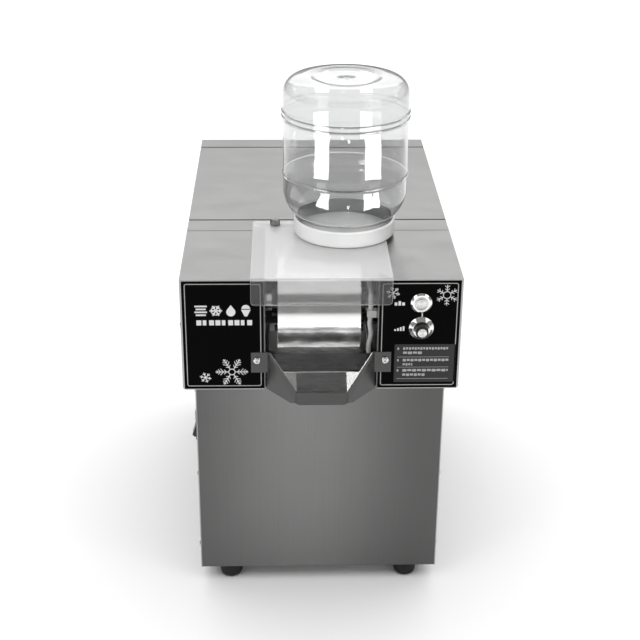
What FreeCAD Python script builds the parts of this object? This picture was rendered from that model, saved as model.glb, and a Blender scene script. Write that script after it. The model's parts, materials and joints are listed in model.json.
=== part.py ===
"""Countertop snowflake-ice machine: a head with a freezing drum on a lower refrigeration cabinet.

Millimetres, +Z up. Everything is drawn from the datum that a sheet-metal shop would use:
x from the centre line, y back from the head's front face, z up from the head's top face.
save() then moves each piece so that the part's origin is under its middle, on the ground.
"""
import FreeCAD, Part
import math
import os
from FreeCAD import Vector

# ---- driving dimensions -------------------------------------------------------------------
HEAD_W, HEAD_D, HEAD_H = 300.0, 480.0, 130.0      # the wide upper box
CAB_W, CAB_FRONT, CAB_BACK = 278.0, 30.0, 475.0   # the lower cabinet, set back at the front
CAB_BOTTOM = -385.0
FOOT_H, FOOT_R, FOOT_ROUND = 20.0, 13.4, 6.0
SHEET = 1.2                                       # stainless sheet of the cabinet
SKIN = 1.0                                        # thinner sheet of the head
CHUTE_REACH = 38.0                                # how far the snow chute stands out in front

MOUTH = 61.4              # half width of the pocket that the drum runs in
FASCIA_T, BORDER = 2.0, 2.0
SEAM_FRONT = 140.0        # front top plates end here
SEAM_LID = 174.7          # between the crossbar and the rear lid
SEAM_REAR = 446.2         # between the rear lid and the back panel's fold
SEAM = 2.5                # width of the open seams across the top
OPENING_BACK = 144.7      # rear edge of the opening over the drum

DRUM_R, DRUM_HALF, DRUM_WALL = 52.0, 46.0, 3.0
DRUM_Y, DRUM_Z = 80.0, -62.0
DRUM_SHIFT = -1.3         # the drum runs this far off the centre line, nearer the swivel
SHAFT_R = 10.0
SCREW_R, SCREW_HOLE_R = 2.0, 2.1   # M4
RUN = 0.05                # radial clearance of a running fit
GAP = 0.3                 # air between pieces that move past each other

MODULE = 1.25             # drive gears
GEAR_TEETH, PINION_TEETH = 60, 15
PINION_Y = DRUM_Y + MODULE * (GEAR_TEETH + PINION_TEETH) / 2 + 0.25

BOTTLE_X, BOTTLE_Y = 29.0, 133.0
CAP_R, CAP_TOP = 57.2, 22.0
COVER_T, COVER_HALF, COVER_BACK, COVER_DROP = 3.0, 75.0, 163.0, -28.6
THUMB_X, THUMB_Y = -49.5, 151.0

BUTTON_X, BUTTON_Z = 106.0, -27.4
KNOB_X, KNOB_Z = 106.9, -56.8
ROCKER_Y, ROCKER_Z = 57.0, -202.5
INLET_X, INLET_Z = -95.0, -345.0
CHUTE_SCREW_X, CHUTE_SCREW_Z = 69.0, -94.4
FAN_Y, FAN_Z, FAN_R = 220.0, -275.0, 78.0
COMP_X, COMP_Y = -55.0, 360.0

ORIGIN = Vector(0, -(HEAD_D - CHUTE_REACH) / 2, FOOT_H - CAB_BOTTOM)

HEAD_X = HEAD_W / 2
CAB_X = CAB_W / 2
FLOOR = -HEAD_H + SHEET   # top of the deck plate that closes the head
X_AXIS, Y_AXIS, Z_AXIS = Vector(1, 0, 0), Vector(0, 1, 0), Vector(0, 0, 1)


# ---- helpers ------------------------------------------------------------------------------
def box(x0, x1, y0, y1, z0, z1):
    return Part.makeBox(x1 - x0, y1 - y0, z1 - z0, Vector(x0, y0, z0))


def rod(start, axis, length, radius):
    return Part.makeCylinder(radius, length, Vector(*start), axis)


def pipe_piece(start, axis, length, outer, inner):
    return rod(start, axis, length, outer).cut(rod(start, axis, length, inner))


def cone(start, axis, length, r0, r1):
    return Part.makeCone(r0, r1, length, Vector(*start), axis)


def fuse(shapes):
    first = shapes[0]
    if len(shapes) == 1:
        return first
    return first.multiFuse(shapes[1:]).removeSplitter()


def cut(shape, tools):
    return shape.cut(Part.makeCompound(tools) if len(tools) > 1 else tools[0])


def group(shapes):
    """Separate solids that share one node."""
    return Part.makeCompound(shapes)


def prism(points, along):
    """Flat outline through the points, extruded along a vector."""
    corners = [Vector(*p) for p in points]
    wire = Part.makePolygon(corners + corners[:1])
    return Part.Face(wire).extrude(Vector(*along))


def sheet(points, thickness, inward):
    """A flat facet of sheet metal, thickened towards an inner point.

    The first three corners set its plane and any other corner is dropped square onto it.
    """
    corners = [Vector(*p) for p in points]
    a, b, c = corners[:3]
    normal = (b - a).cross(c - a).normalize()
    if normal.dot(Vector(*inward) - a) < 0:
        normal = normal * -1
    flat = [p - normal * (p - a).dot(normal) for p in corners]
    return prism(flat, normal * thickness)


def mirror_x(shape):
    return shape.mirror(Vector(0, 0, 0), X_AXIS)


def both(shape):
    return [shape, mirror_x(shape)]


def route(points, radius, bend):
    """A round pipe: straight runs joined by tangent arcs."""
    pts = [Vector(*p) for p in points]
    edges = []
    start = pts[0]
    for before, corner, after in zip(pts, pts[1:], pts[2:]):
        into = (corner - before).normalize()
        out = (after - corner).normalize()
        half = into.getAngle(out) / 2
        back = bend * math.tan(half)
        first = corner - into * back
        last = corner + out * back
        middle = corner + (out - into).normalize() * (bend / math.cos(half) - bend)
        edges.append(Part.LineSegment(start, first).toShape())
        edges.append(Part.Arc(first, middle, last).toShape())
        start = last
    edges.append(Part.LineSegment(start, pts[-1]).toShape())
    wire = Part.Wire(edges)
    ring = Part.Wire([Part.Circle(pts[0], (pts[1] - pts[0]).normalize(), radius).toShape()])
    return wire.makePipeShell([ring], True, False)


def revolve_z(points, x, y):
    """Turn an outline of (radius, z) points about an upright axis."""
    wire = Part.makePolygon([Vector(r, 0, z) for r, z in points] + [Vector(points[0][0], 0, points[0][1])])
    solid = Part.Face(wire).revolve(Vector(0, 0, 0), Z_AXIS, 360)
    return solid.translated(Vector(x, y, 0))


def gear(teeth, centre_y, x0, x1, tooth_share):
    """A spur gear on an X axis at drum height, with a tooth pointing back along +Y."""
    pitch_r = MODULE * teeth / 2
    tip_r = pitch_r + 0.9 * MODULE
    root_r = pitch_r - 1.25 * MODULE
    step = 2 * math.pi / teeth
    outline = []
    for i in range(teeth):
        mid = i * step
        half_root = step * tooth_share * 0.72
        half_tip = step * tooth_share * 0.28
        for angle, r in ((mid - half_root, root_r), (mid - half_tip, tip_r),
                         (mid + half_tip, tip_r), (mid + half_root, root_r)):
            outline.append((x0, centre_y + r * math.cos(angle), DRUM_Z + r * math.sin(angle)))
    return prism(outline, (x1 - x0, 0, 0))


def slots(centres, size):
    """Ventilation slots: boxes of one size about each centre."""
    dx, dy, dz = (s / 2 for s in size)
    return [box(x - dx, x + dx, y - dy, y + dy, z - dz, z + dz) for x, y, z in centres]


def save(name, shape):
    shape.translated(ORIGIN).exportStep("parts/" + name + ".step")


# ---- lower cabinet ------------------------------------------------------------------------
PAN_TOP = CAB_BOTTOM + SHEET
IN_X = CAB_X - SHEET                 # inner faces of the side panels
FRONT_IN = CAB_FRONT + SHEET
BACK_IN = CAB_BACK - SHEET
POST = 16.0
FOOT_X, FOOT_IN = 104.2, 18.5
FEET = [(sx * FOOT_X, y) for sx in (-1, 1) for y in (CAB_FRONT + FOOT_IN, CAB_BACK - FOOT_IN)]
DRAIN_X, DRAIN_Y = 30.0, 120.0
DRAIN_OUT_Z = -340.0
SUCTION_X, LIQUID_X = -92.0, -106.0
RISER_Y = 118.0
LIQUID_Y = 42.0


def base_pan():
    floor = box(-IN_X, IN_X, FRONT_IN, BACK_IN, CAB_BOTTOM, PAN_TOP)
    rim = box(-IN_X, IN_X, FRONT_IN, BACK_IN, PAN_TOP, PAN_TOP + 14)
    rim = rim.cut(box(-IN_X + SHEET, IN_X - SHEET, FRONT_IN + SHEET, BACK_IN - SHEET, PAN_TOP, PAN_TOP + 14))
    holes = [rod((x, y, CAB_BOTTOM - 1), Z_AXIS, 4, 3.1) for x, y in FEET]
    return cut(fuse([floor, rim]), holes)


def rubber_feet():
    feet = []
    for x, y in FEET:
        foot = rod((x, y, CAB_BOTTOM - FOOT_H), Z_AXIS, FOOT_H, FOOT_R)
        lowest = [e for e in foot.Edges if e.BoundBox.ZMax < CAB_BOTTOM - FOOT_H + 0.1]
        foot = foot.makeFillet(FOOT_ROUND, [e for e in lowest if e.Closed and e.Length > 50])
        stud = rod((x, y, CAB_BOTTOM), Z_AXIS, 9, 3.0)
        nut = rod((x, y, PAN_TOP), Z_AXIS, 4, 5.5)
        feet.append(fuse([foot, stud, nut]))
    return group(feet)


def corner_posts():
    x1 = IN_X - SHEET
    y0 = FRONT_IN + SHEET
    y1 = BACK_IN - SHEET
    posts = []
    for sx in (-1, 1):
        for y, sy in ((y0, 1), (y1, -1)):
            xs = sorted((sx * x1, sx * (x1 - POST)))
            ys = sorted((y, y + sy * POST))
            inner_x = sorted((sx * (x1 - 1.5), sx * (x1 - POST)))
            inner_y = sorted((y + sy * 1.5, y + sy * POST))
            post = box(*xs, *ys, PAN_TOP, -HEAD_H)
            posts.append(post.cut(box(*inner_x, *inner_y, PAN_TOP, -HEAD_H)))
    return group([cut(p, side_screw_holes() + back_screw_holes()) for p in posts])


def lower_front_panel():
    return box(-IN_X, IN_X, CAB_FRONT, FRONT_IN, CAB_BOTTOM + 0.5, -HEAD_H)


SIDE_SCREWS = [(y, z) for y in (CAB_FRONT + 10, CAB_BACK - 10) for z in (-150.0, -262.0, -358.0)]
BACK_SCREWS = [(sx * (CAB_X - 12), z) for sx in (-1, 1) for z in (-150.0, -262.0, -358.0)]


def side_screw_holes():
    return [rod((-CAB_X - 1, y, z), X_AXIS, CAB_W + 2, SCREW_HOLE_R) for y, z in SIDE_SCREWS]


def back_screw_holes():
    return [rod((x, CAB_BACK - 25, z), Y_AXIS, 30, SCREW_HOLE_R) for x, z in BACK_SCREWS]


def side_panel(side):
    xs = sorted((side * CAB_X, side * IN_X))
    panel = box(*xs, CAB_FRONT, CAB_BACK, CAB_BOTTOM, -HEAD_H)
    vents = [(side * (CAB_X - SHEET / 2), FAN_Y, FAN_Z + k * 12.0) for k in range(-6, 7)]
    return cut(panel, slots(vents, (8, 130, 4)) + side_screw_holes())


def lower_left_panel():
    y, z = ROCKER_CUTOUT
    hole = box(-CAB_X - 5, -IN_X + 5, ROCKER_Y - y, ROCKER_Y + y, ROCKER_Z - z, ROCKER_Z + z)
    return side_panel(-1).cut(hole)


def lower_back_panel():
    panel = box(-IN_X, IN_X, BACK_IN, CAB_BACK, CAB_BOTTOM, -HEAD_H)
    vents = [(0, CAB_BACK - SHEET / 2, -165.0 - k * 12.0) for k in range(9)]
    inlet = box(INLET_X - 14, INLET_X + 14, BACK_IN - 5, CAB_BACK + 5, INLET_Z - 10, INLET_Z + 10)
    drain = rod((DRAIN_X, BACK_IN - 5, DRAIN_OUT_Z), Y_AXIS, 12, 6.3)
    return cut(panel, slots(vents, (150, 8, 4)) + back_screw_holes() + [inlet, drain])


def pan_screw(point, axis, length):
    """A cross-recessed pan-head screw; the axis points the way that it drives in."""
    head_h, head_r = 2.4, 4.0
    axis = Vector(*axis)
    seat = Vector(*point)
    top = seat - axis * head_h
    head = cone(seat, axis * -1, head_h, head_r, head_r - 1.0)
    shank = Part.makeCylinder(SCREW_R, length, seat, axis)
    one = Vector(0, 0, 1) if abs(axis.z) < 0.5 else Vector(1, 0, 0)
    other = axis.cross(one)
    slots_in_head = []
    for long_way, thin_way in ((one, other), (other, one)):
        a = top - long_way * 2.2 - thin_way * 0.4
        corners = [a, a + long_way * 4.4, a + long_way * 4.4 + thin_way * 0.8, a + thin_way * 0.8]
        slots_in_head.append(prism([tuple(c) for c in corners], axis * 1.3))
    return cut(fuse([head, shank]), slots_in_head)


def pan_head_screws():
    screws = []
    for sx in (-1, 1):
        screws.append(pan_screw((sx * CHUTE_SCREW_X, -SHEET, CHUTE_SCREW_Z), (0, 1, 0), 7))
        for y in HEAD_SCREW_YS:
            screws.append(pan_screw((sx * HEAD_X, y, HEAD_SCREW_Z), (-sx, 0, 0), 7))
        for y, z in SIDE_SCREWS:
            screws.append(pan_screw((sx * CAB_X, y, z), (-sx, 0, 0), 6))
    for x, z in BACK_SCREWS:
        screws.append(pan_screw((x, CAB_BACK, z), (0, -1, 0), 6))
    return group(screws)


# ---- refrigeration unit -------------------------------------------------------------------
COMP_R = 56.0
COMP_FEET = [(COMP_X + dx, COMP_Y + dy) for dx in (-62, 62) for dy in (-42, 42)]


def compressor():
    can = rod((COMP_X, COMP_Y, PAN_TOP + 16), Z_AXIS, 118, COMP_R)
    rims = [e for e in can.Edges if e.Closed and e.Length > 300]
    can = can.makeFillet(20.0, rims)
    seam = rod((COMP_X, COMP_Y, PAN_TOP + 82), Z_AXIS, 3, COMP_R + 2.5)
    plate = box(COMP_X - 74, COMP_X + 74, COMP_Y - 54, COMP_Y + 54, PAN_TOP + 13, PAN_TOP + 17)
    stub_hot = rod((COMP_X + 20, COMP_Y - 20, PAN_TOP + 125), Z_AXIS, 15, 5.0)
    stub_cold = rod((COMP_X - 20, COMP_Y - 20, PAN_TOP + 125), Z_AXIS, 15, 6.5)
    holes = [rod((x, y, PAN_TOP), Z_AXIS, 30, 6.0) for x, y in COMP_FEET]
    return cut(fuse([can, seam, plate, stub_hot, stub_cold]), holes)


def compressor_grommets():
    grommets = []
    for x, y in COMP_FEET:
        body = rod((x, y, PAN_TOP), Z_AXIS, 13, 9.0)
        neck = rod((x, y, PAN_TOP + 13), Z_AXIS, 4, 5.9)
        lip = rod((x, y, PAN_TOP + 17), Z_AXIS, 3, 9.0)
        grommets.append(fuse([body, neck, lip]))
    return group(grommets)


COIL_HALF = 98.0
COIL_X0, COIL_X1 = 112.0, 134.0


def condenser():
    """Header plates, fin pack and the tube bends at both ends, as one brazed unit."""
    ends = [box(COIL_X0, COIL_X1, y, y + 1.5, FAN_Z - COIL_HALF, FAN_Z + COIL_HALF)
            for y in (FAN_Y - COIL_HALF, FAN_Y + COIL_HALF - 1.5)]
    pitch = 7.0
    fins = [box(COIL_X0 + 1, COIL_X1 - 1, FAN_Y - COIL_HALF + k * pitch, FAN_Y - COIL_HALF + k * pitch + 0.8,
                FAN_Z - COIL_HALF + 2, FAN_Z + COIL_HALF - 2) for k in range(1, 28)]
    tubes = [rod(((COIL_X0 + COIL_X1) / 2, FAN_Y - COIL_HALF - 6, FAN_Z + z), Y_AXIS, 2 * COIL_HALF + 12, 4.0)
             for z in (-84, -56, -28, 0, 28, 56, 84)]
    foot = box(COIL_X0, COIL_X1, FAN_Y - COIL_HALF, FAN_Y + COIL_HALF, PAN_TOP, PAN_TOP + 1.5)
    legs = [box(COIL_X0, COIL_X1, y, y + 1.5, PAN_TOP, FAN_Z - COIL_HALF)
            for y in (FAN_Y - COIL_HALF, FAN_Y + COIL_HALF - 1.5)]
    return fuse(ends + fins + tubes + legs + [foot])


RING_R = FAN_R + 4


def fan_shroud():
    plate = box(108, 110, FAN_Y - COIL_HALF, FAN_Y + COIL_HALF, FAN_Z - COIL_HALF, FAN_Z + COIL_HALF)
    plate = plate.cut(rod((100, FAN_Y, FAN_Z), X_AXIS, 20, RING_R))
    ring = pipe_piece((84, FAN_Y, FAN_Z), X_AXIS, 26, RING_R + 1.5, RING_R)
    lip = [box(110, COIL_X0, y, y + 1.5, FAN_Z - COIL_HALF, FAN_Z + COIL_HALF)
           for y in (FAN_Y - COIL_HALF, FAN_Y + COIL_HALF - 1.5)]
    return fuse([plate, ring] + lip)


def fan_motor():
    can = rod((50, FAN_Y, FAN_Z), X_AXIS, 32, 26)
    shaft = rod((82, FAN_Y, FAN_Z), X_AXIS, 22, 3.0)
    arm = box(78, 81, FAN_Y - 5, FAN_Y + 5, FAN_Z, FAN_Z + RING_R + 6)
    toe = box(81, 84, FAN_Y - 5, FAN_Y + 5, FAN_Z + RING_R - 1, FAN_Z + RING_R + 6)
    spider = []
    for angle in (45, 135, 225, 315):
        for piece in (arm, toe):
            spider.append(piece.rotated(Vector(80, FAN_Y, FAN_Z), X_AXIS, angle))
    return fuse([can, shaft] + spider)


def fan_blades():
    hub = rod((87, FAN_Y, FAN_Z), X_AXIS, 16, 20)
    blades = []
    for k in range(5):
        blade = box(-1.0, 1.0, -20, 20, 17, FAN_R)
        blade = blade.rotated(Vector(0, 0, 0), Z_AXIS, 20)
        blade = blade.translated(Vector(95, FAN_Y, FAN_Z))
        blades.append(blade.rotated(Vector(95, FAN_Y, FAN_Z), X_AXIS, 72.0 * k))
    bore = rod((86, FAN_Y, FAN_Z), X_AXIS, 20, 3.0 + RUN)
    trim = pipe_piece((70, FAN_Y, FAN_Z), X_AXIS, 50, FAN_R + 20, FAN_R)
    return cut(fuse([hub] + blades), [bore, trim])


DRIER_X, DRIER_Y = 90.0, 400.0


def filter_drier():
    can = rod((DRIER_X, DRIER_Y, -330), Z_AXIS, 80, 12)
    low = cone((DRIER_X, DRIER_Y, -330), Vector(0, 0, -1), 14, 12, 4)
    high = cone((DRIER_X, DRIER_Y, -250), Z_AXIS, 14, 12, 4)
    return fuse([can, low, high])


def discharge_pipe():
    x, y = COMP_X + 20, COMP_Y - 20
    coil_x = (COIL_X0 + COIL_X1) / 2
    top = PAN_TOP + 140
    end_y = FAN_Y + COIL_HALF + 6
    points = [(x, y, top), (x, y, top + 70), (coil_x, y, top + 70), (coil_x, y, FAN_Z + 84),
              (coil_x, end_y, FAN_Z + 84)]
    return route(points, 4.0, 10.0)


def liquid_pipe():
    """Condenser to drier, then drier up into the head to the swivel."""
    coil_x = (COIL_X0 + COIL_X1) / 2
    low = [(coil_x, FAN_Y + COIL_HALF + 6, FAN_Z - 84), (coil_x, DRIER_Y, FAN_Z - 84),
           (DRIER_X, DRIER_Y, FAN_Z - 84), (DRIER_X, DRIER_Y, -344)]
    high = [(DRIER_X, DRIER_Y, -236), (DRIER_X, DRIER_Y, -190), (DRIER_X - 40, DRIER_Y, -160),
            (LIQUID_X, DRIER_Y, -160), (LIQUID_X, LIQUID_Y, -160), (LIQUID_X, LIQUID_Y, DRUM_Z),
            (LIQUID_X, DRUM_Y - SWIVEL_REACH, DRUM_Z)]
    return group([route(low, 3.2, 8.0), route(high, 3.2, 12.0)])


def suction_pipe():
    x, y = COMP_X - 20, COMP_Y - 20
    top = PAN_TOP + 140
    points = [(x, y, top), (x, y, -180), (SUCTION_X, y, -180), (SUCTION_X, RISER_Y, -180),
              (SUCTION_X, RISER_Y, DRUM_Z), (SUCTION_X, DRUM_Y + SWIVEL_REACH, DRUM_Z)]
    return route(points, 5.0, 12.0)


def control_box():
    case = box(-IN_X, -90, 95, 225, -330, -205)
    case = case.cut(box(-IN_X + 1.2, -91.2, 96.2, 223.8, -328.8, -206.2))
    board = box(-IN_X + 8, -IN_X + 9.6, 104, 216, -322, -214)
    standoffs = [rod((-IN_X + 1.2, y, z), X_AXIS, 6.8, 3) for y in (112, 208) for z in (-314, -222)]
    transformer = box(-IN_X + 9.6, -IN_X + 34, 115, 150, -310, -270)
    return fuse([case, board, transformer] + standoffs)


def run_capacitor():
    can = rod((-60, 80, PAN_TOP), Z_AXIS, 70, 20)
    tabs = [box(-60 + dx - 0.4, -60 + dx + 0.4, 77, 83, PAN_TOP + 70, PAN_TOP + 79) for dx in (-6, 6)]
    return fuse([can] + tabs)


HOSE_X, HOSE_Y, HOSE_R = 54.0, 22.0, 2.6
TRAY_X = 48.0
HOSE_END_X = 52.6         # where the overflow hose goes through the blade bar
SPILL_Y, SPILL_Z = 128.0, -28.0   # where it leaves the milk tray


def drain_hose():
    """The drain out of the back, and the clear overflow that hangs by the right wall of the pocket."""
    points = [(DRAIN_X, DRAIN_Y, -144), (DRAIN_X, DRAIN_Y, -230), (DRAIN_X, 230, DRAIN_OUT_Z + 20),
              (DRAIN_X, 340, DRAIN_OUT_Z), (DRAIN_X, CAB_BACK + 3, DRAIN_OUT_Z)]
    drain = route(points, 6.0, 45.0).cut(route(points, 4.2, 45.0))
    elbow = box(HOSE_X - 4, MOUTH - SKIN - GAP, HOSE_Y - 4, HOSE_Y + 4, -53, -45)
    drop = [(HOSE_X, HOSE_Y, -52), (HOSE_X - 1, HOSE_Y, -62), (HOSE_X + 1.0, HOSE_Y, -74),
            (HOSE_END_X, HOSE_Y, -86), (HOSE_END_X, HOSE_Y, -113)]
    spill = [(TRAY_X, SPILL_Y, SPILL_Z), (HOSE_X, SPILL_Y, SPILL_Z), (HOSE_X, HOSE_Y, SPILL_Z),
             (HOSE_X, HOSE_Y, -46)]
    overflow = fuse([elbow, route(spill, HOSE_R, 3.0), route(drop, HOSE_R, 14.0)])
    return group([drain, overflow])


# ---- switches and inlet -------------------------------------------------------------------
PADDLE_PIVOT = 1.0        # the rocker's pin is this far outside the panel's face
PADDLE_SWING = 18.0
PADDLE_HALF = 13.5        # from the pin to the rocker's edge
PADDLE_Y = 6.7
WELL_R = 16.6
PIN_R = 1.0
ROCKER_CUTOUT = (8.6, 17.4)


def rocker_housing():
    x0, pin_x = -CAB_X, -CAB_X - PADDLE_PIVOT
    body_y, body_z = (half - 0.1 for half in ROCKER_CUTOUT)
    flange = box(x0 - 2, x0, ROCKER_Y - 10, ROCKER_Y + 10, ROCKER_Z - 18.5, ROCKER_Z + 18.5)
    outer = [e for e in flange.Edges if e.BoundBox.XLength < 2.1 and e.BoundBox.XLength > 1.9]
    flange = flange.makeFillet(1.5, outer)
    body = box(x0, x0 + 22, ROCKER_Y - body_y, ROCKER_Y + body_y, ROCKER_Z - body_z, ROCKER_Z + body_z)
    well_y = PADDLE_Y + GAP
    well = box(x0 - 3, x0 + 8, ROCKER_Y - well_y, ROCKER_Y + well_y, ROCKER_Z - 18, ROCKER_Z + 18)
    well = well.common(rod((pin_x, ROCKER_Y - 10, ROCKER_Z), Y_AXIS, 20, WELL_R))
    tags = [box(x0 + 22, x0 + 30, ROCKER_Y - 3, ROCKER_Y + 3, z - 0.4, z + 0.4)
            for z in (ROCKER_Z - 8, ROCKER_Z + 8)]
    pin_hole = rod((pin_x, ROCKER_Y - PADDLE_Y - 1.3, ROCKER_Z), Y_AXIS, 2 * PADDLE_Y + 2.6, PIN_R + RUN)
    return cut(fuse([flange, body] + tags), [well, pin_hole])


def rocker_paddle():
    """Two faces that meet over the pin: the upper one is flush, the lower one stands out."""
    face = 1.0
    rise = PADDLE_HALF * math.tan(math.radians(PADDLE_SWING))
    outline = [(face, 16.0), (face, 0), (face + rise, -PADDLE_HALF), (3.0, -16.0), (-1.6, -15.6), (-3.6, -9.0),
               (-4.4, 0), (-2.0, 15.6)]
    px = -CAB_X - PADDLE_PIVOT
    points = [(px - out, ROCKER_Y - PADDLE_Y, ROCKER_Z + z) for out, z in outline]
    paddle = prism(points, (0, 2 * PADDLE_Y, 0))
    pin = rod((px, ROCKER_Y - PADDLE_Y - 1.2, ROCKER_Z), Y_AXIS, 2 * PADDLE_Y + 2.4, PIN_R)
    return fuse([paddle, pin])


def power_inlet():
    flange = box(INLET_X - 20, INLET_X + 20, CAB_BACK, CAB_BACK + 2.5, INLET_Z - 14, INLET_Z + 14)
    upright = [e for e in flange.Edges if abs(e.BoundBox.YLength - 2.5) < 0.1]
    flange = flange.makeFillet(3.0, upright)
    body = box(INLET_X - 13.9, INLET_X + 13.9, CAB_BACK - 22, CAB_BACK, INLET_Z - 9.9, INLET_Z + 9.9)
    well = box(INLET_X - 12, INLET_X + 12, CAB_BACK - 16, CAB_BACK + 3, INLET_Z - 8.2, INLET_Z + 8.2)
    pins = [box(INLET_X + x - 1, INLET_X + x + 1, CAB_BACK - 16, CAB_BACK - 1, INLET_Z + z, INLET_Z + z + 4)
            for x, z in ((-7, 1), (0, 3), (7, 1))]
    return fuse([fuse([flange, body]).cut(well)] + pins)


CAP_BUTTON_R = 7.0


def start_button_body():
    """A round metal push switch: front flange, barrel, ring nut and terminal block."""
    x, z = BUTTON_X, BUTTON_Z
    flange = cone((x, 0, z), Y_AXIS * -1, 2.5, 11.5, 10.3)
    barrel = rod((x, 0, z), Y_AXIS, 26, 9.4)
    nut = rod((x, FASCIA_T + SKIN, z), Y_AXIS, 3.5, 12.5)
    block = rod((x, 26, z), Y_AXIS, 6, 7.5)
    well = rod((x, -3, z), Y_AXIS, 17, CAP_BUTTON_R + RUN)
    return fuse([flange, barrel, nut, block]).cut(well)


def start_button_cap():
    cap = rod((BUTTON_X, -2.6, BUTTON_Z), Y_AXIS, 13, CAP_BUTTON_R)
    dome = Part.makeSphere(26.0, Vector(BUTTON_X, 22.4, BUTTON_Z))
    front = dome.common(rod((BUTTON_X, -4.0, BUTTON_Z), Y_AXIS, 2.4, CAP_BUTTON_R))
    return fuse([cap, front])


KNOB_REACH, KNOB_RING, KNOB_SHAFT_R, KNOB_R = 14.0, 4.5, 3.0, 7.0


def speed_control_body():
    x, z = KNOB_X, KNOB_Z
    ring = cone((x, 0, z), Y_AXIS * -1, KNOB_RING, 13.5, 9.0)
    bush = rod((x, 0, z), Y_AXIS, 8, 5.0)
    pot = rod((x, FASCIA_T + SKIN, z), Y_AXIS, 16, 12.0)
    lugs = box(x - 7, x + 7, 10, 12, z - 20, z - 11)
    bore = rod((x, -6, z), Y_AXIS, 20, KNOB_SHAFT_R + RUN)
    return fuse([ring, bush, pot, lugs]).cut(bore)


def speed_knob():
    grip = rod((KNOB_X, -KNOB_REACH, KNOB_Z), Y_AXIS, KNOB_REACH - KNOB_RING - 0.4, KNOB_R)
    flutes = []
    for k in range(18):
        angle = 2 * math.pi * k / 18
        cx = KNOB_X + (KNOB_R + 0.3) * math.cos(angle)
        cz = KNOB_Z + (KNOB_R + 0.3) * math.sin(angle)
        flutes.append(rod((cx, -KNOB_REACH + 2.0, cz), Y_AXIS, KNOB_REACH, 0.7))
    shaft = rod((KNOB_X, -5.0, KNOB_Z), Y_AXIS, 16, KNOB_SHAFT_R)
    return fuse([cut(grip, flutes), shaft])


# ---- head ---------------------------------------------------------------------------------
HEAD_SCREW_YS = (16.0, 240.0, 464.0)
HEAD_SCREW_Z = -60.0
FOLD_X = HEAD_X - 14.0    # the down-folds under the top stop short of the side panels


def front_holes():
    """Holes through the fascias and the plates behind them."""
    holes = [rod((BUTTON_X, -5, BUTTON_Z), Y_AXIS, 15, 9.5), rod((KNOB_X, -5, KNOB_Z), Y_AXIS, 15, 5.1)]
    for sx in (-1, 1):
        holes.append(rod((sx * CHUTE_SCREW_X, -5, CHUTE_SCREW_Z), Y_AXIS, 15, SCREW_HOLE_R))
    return holes


def head_right_shell():
    """One folded sheet: side, front tray for the fascia, and the front part of the top."""
    x1 = HEAD_X
    back = HEAD_D - SKIN
    side = box(x1 - SKIN, x1, 0, back, -HEAD_H, -1.3)
    side_front = box(x1 - SKIN, x1, 0, SEAM_FRONT, -2, 0)
    ledge = box(x1 - 12, x1, SEAM_FRONT, back, -2.5, -1.3)
    top = box(MOUTH - SKIN, x1, 0, SEAM_FRONT, -SKIN, 0)
    plate = box(MOUTH, x1, FASCIA_T, FASCIA_T + SKIN, -HEAD_H, 0)
    frame = [box(x1 - BORDER, x1, 0, FASCIA_T, -HEAD_H, 0), box(MOUTH, x1, 0, FASCIA_T, -1.5, 0),
             box(MOUTH, x1, 0, FASCIA_T, -HEAD_H, -HEAD_H + 1.0)]
    shell = fuse([side, side_front, ledge, top, plate] + frame)
    outline = box(0, x1, -1, HEAD_D, -HEAD_H, 0)
    long_edges = [e for e in outline.Edges if e.BoundBox.YLength > 400 and e.BoundBox.XMin > x1 - 1]
    low = [e for e in long_edges if e.BoundBox.ZMax < -HEAD_H + 1]
    outline = outline.makeFillet(3.5, low)
    screws = [rod((x1 - 10, y, HEAD_SCREW_Z), X_AXIS, 12, SCREW_HOLE_R) for y in HEAD_SCREW_YS]
    return cut(shell.common(outline), front_holes() + screws)


def head_left_shell():
    return mirror_x(head_right_shell())


def fascia(side):
    panel = box(MOUTH, HEAD_X - BORDER, 0, FASCIA_T, -HEAD_H + 1.0, -1.5)
    if side < 0:
        panel = mirror_x(panel)
    return cut(panel, front_holes())


def head_back_panel():
    back = box(-HEAD_X, HEAD_X, HEAD_D - SKIN, HEAD_D, -HEAD_H, 0)
    strip = box(-HEAD_X, HEAD_X, SEAM_REAR + SEAM / 2, HEAD_D, -1.2, 0)
    vents = [(0, HEAD_D - SKIN / 2, -35.0 - k * 12.0) for k in range(6)]
    return cut(fuse([back, strip]), slots(vents, (170, 8, 4)))


def top_crossbar():
    back = SEAM_LID - SEAM / 2
    bar = box(-HEAD_X, HEAD_X, SEAM_FRONT + 1.0, back, -SHEET, 0)
    notch = box(-MOUTH + SKIN, MOUTH - SKIN, 0, OPENING_BACK, -5, 5)
    fold = box(-FOLD_X, FOLD_X, back - 1.2, back, -16, -1.2)
    screw = rod((THUMB_X, THUMB_Y, -20), Z_AXIS, 30, 2.9)
    return cut(fuse([bar, fold]), [notch, screw])


def rear_lid():
    y0, y1 = SEAM_LID + SEAM / 2, SEAM_REAR - SEAM / 2
    plate = box(-HEAD_X, HEAD_X, y0, y1, -1.2, 0)
    folds = [box(-FOLD_X, FOLD_X, y0, y0 + 1.2, -11, -1.2),
             box(-FOLD_X, FOLD_X, y1 - 1.2, y1, -11, -1.2)]
    return fuse([plate] + folds)


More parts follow.
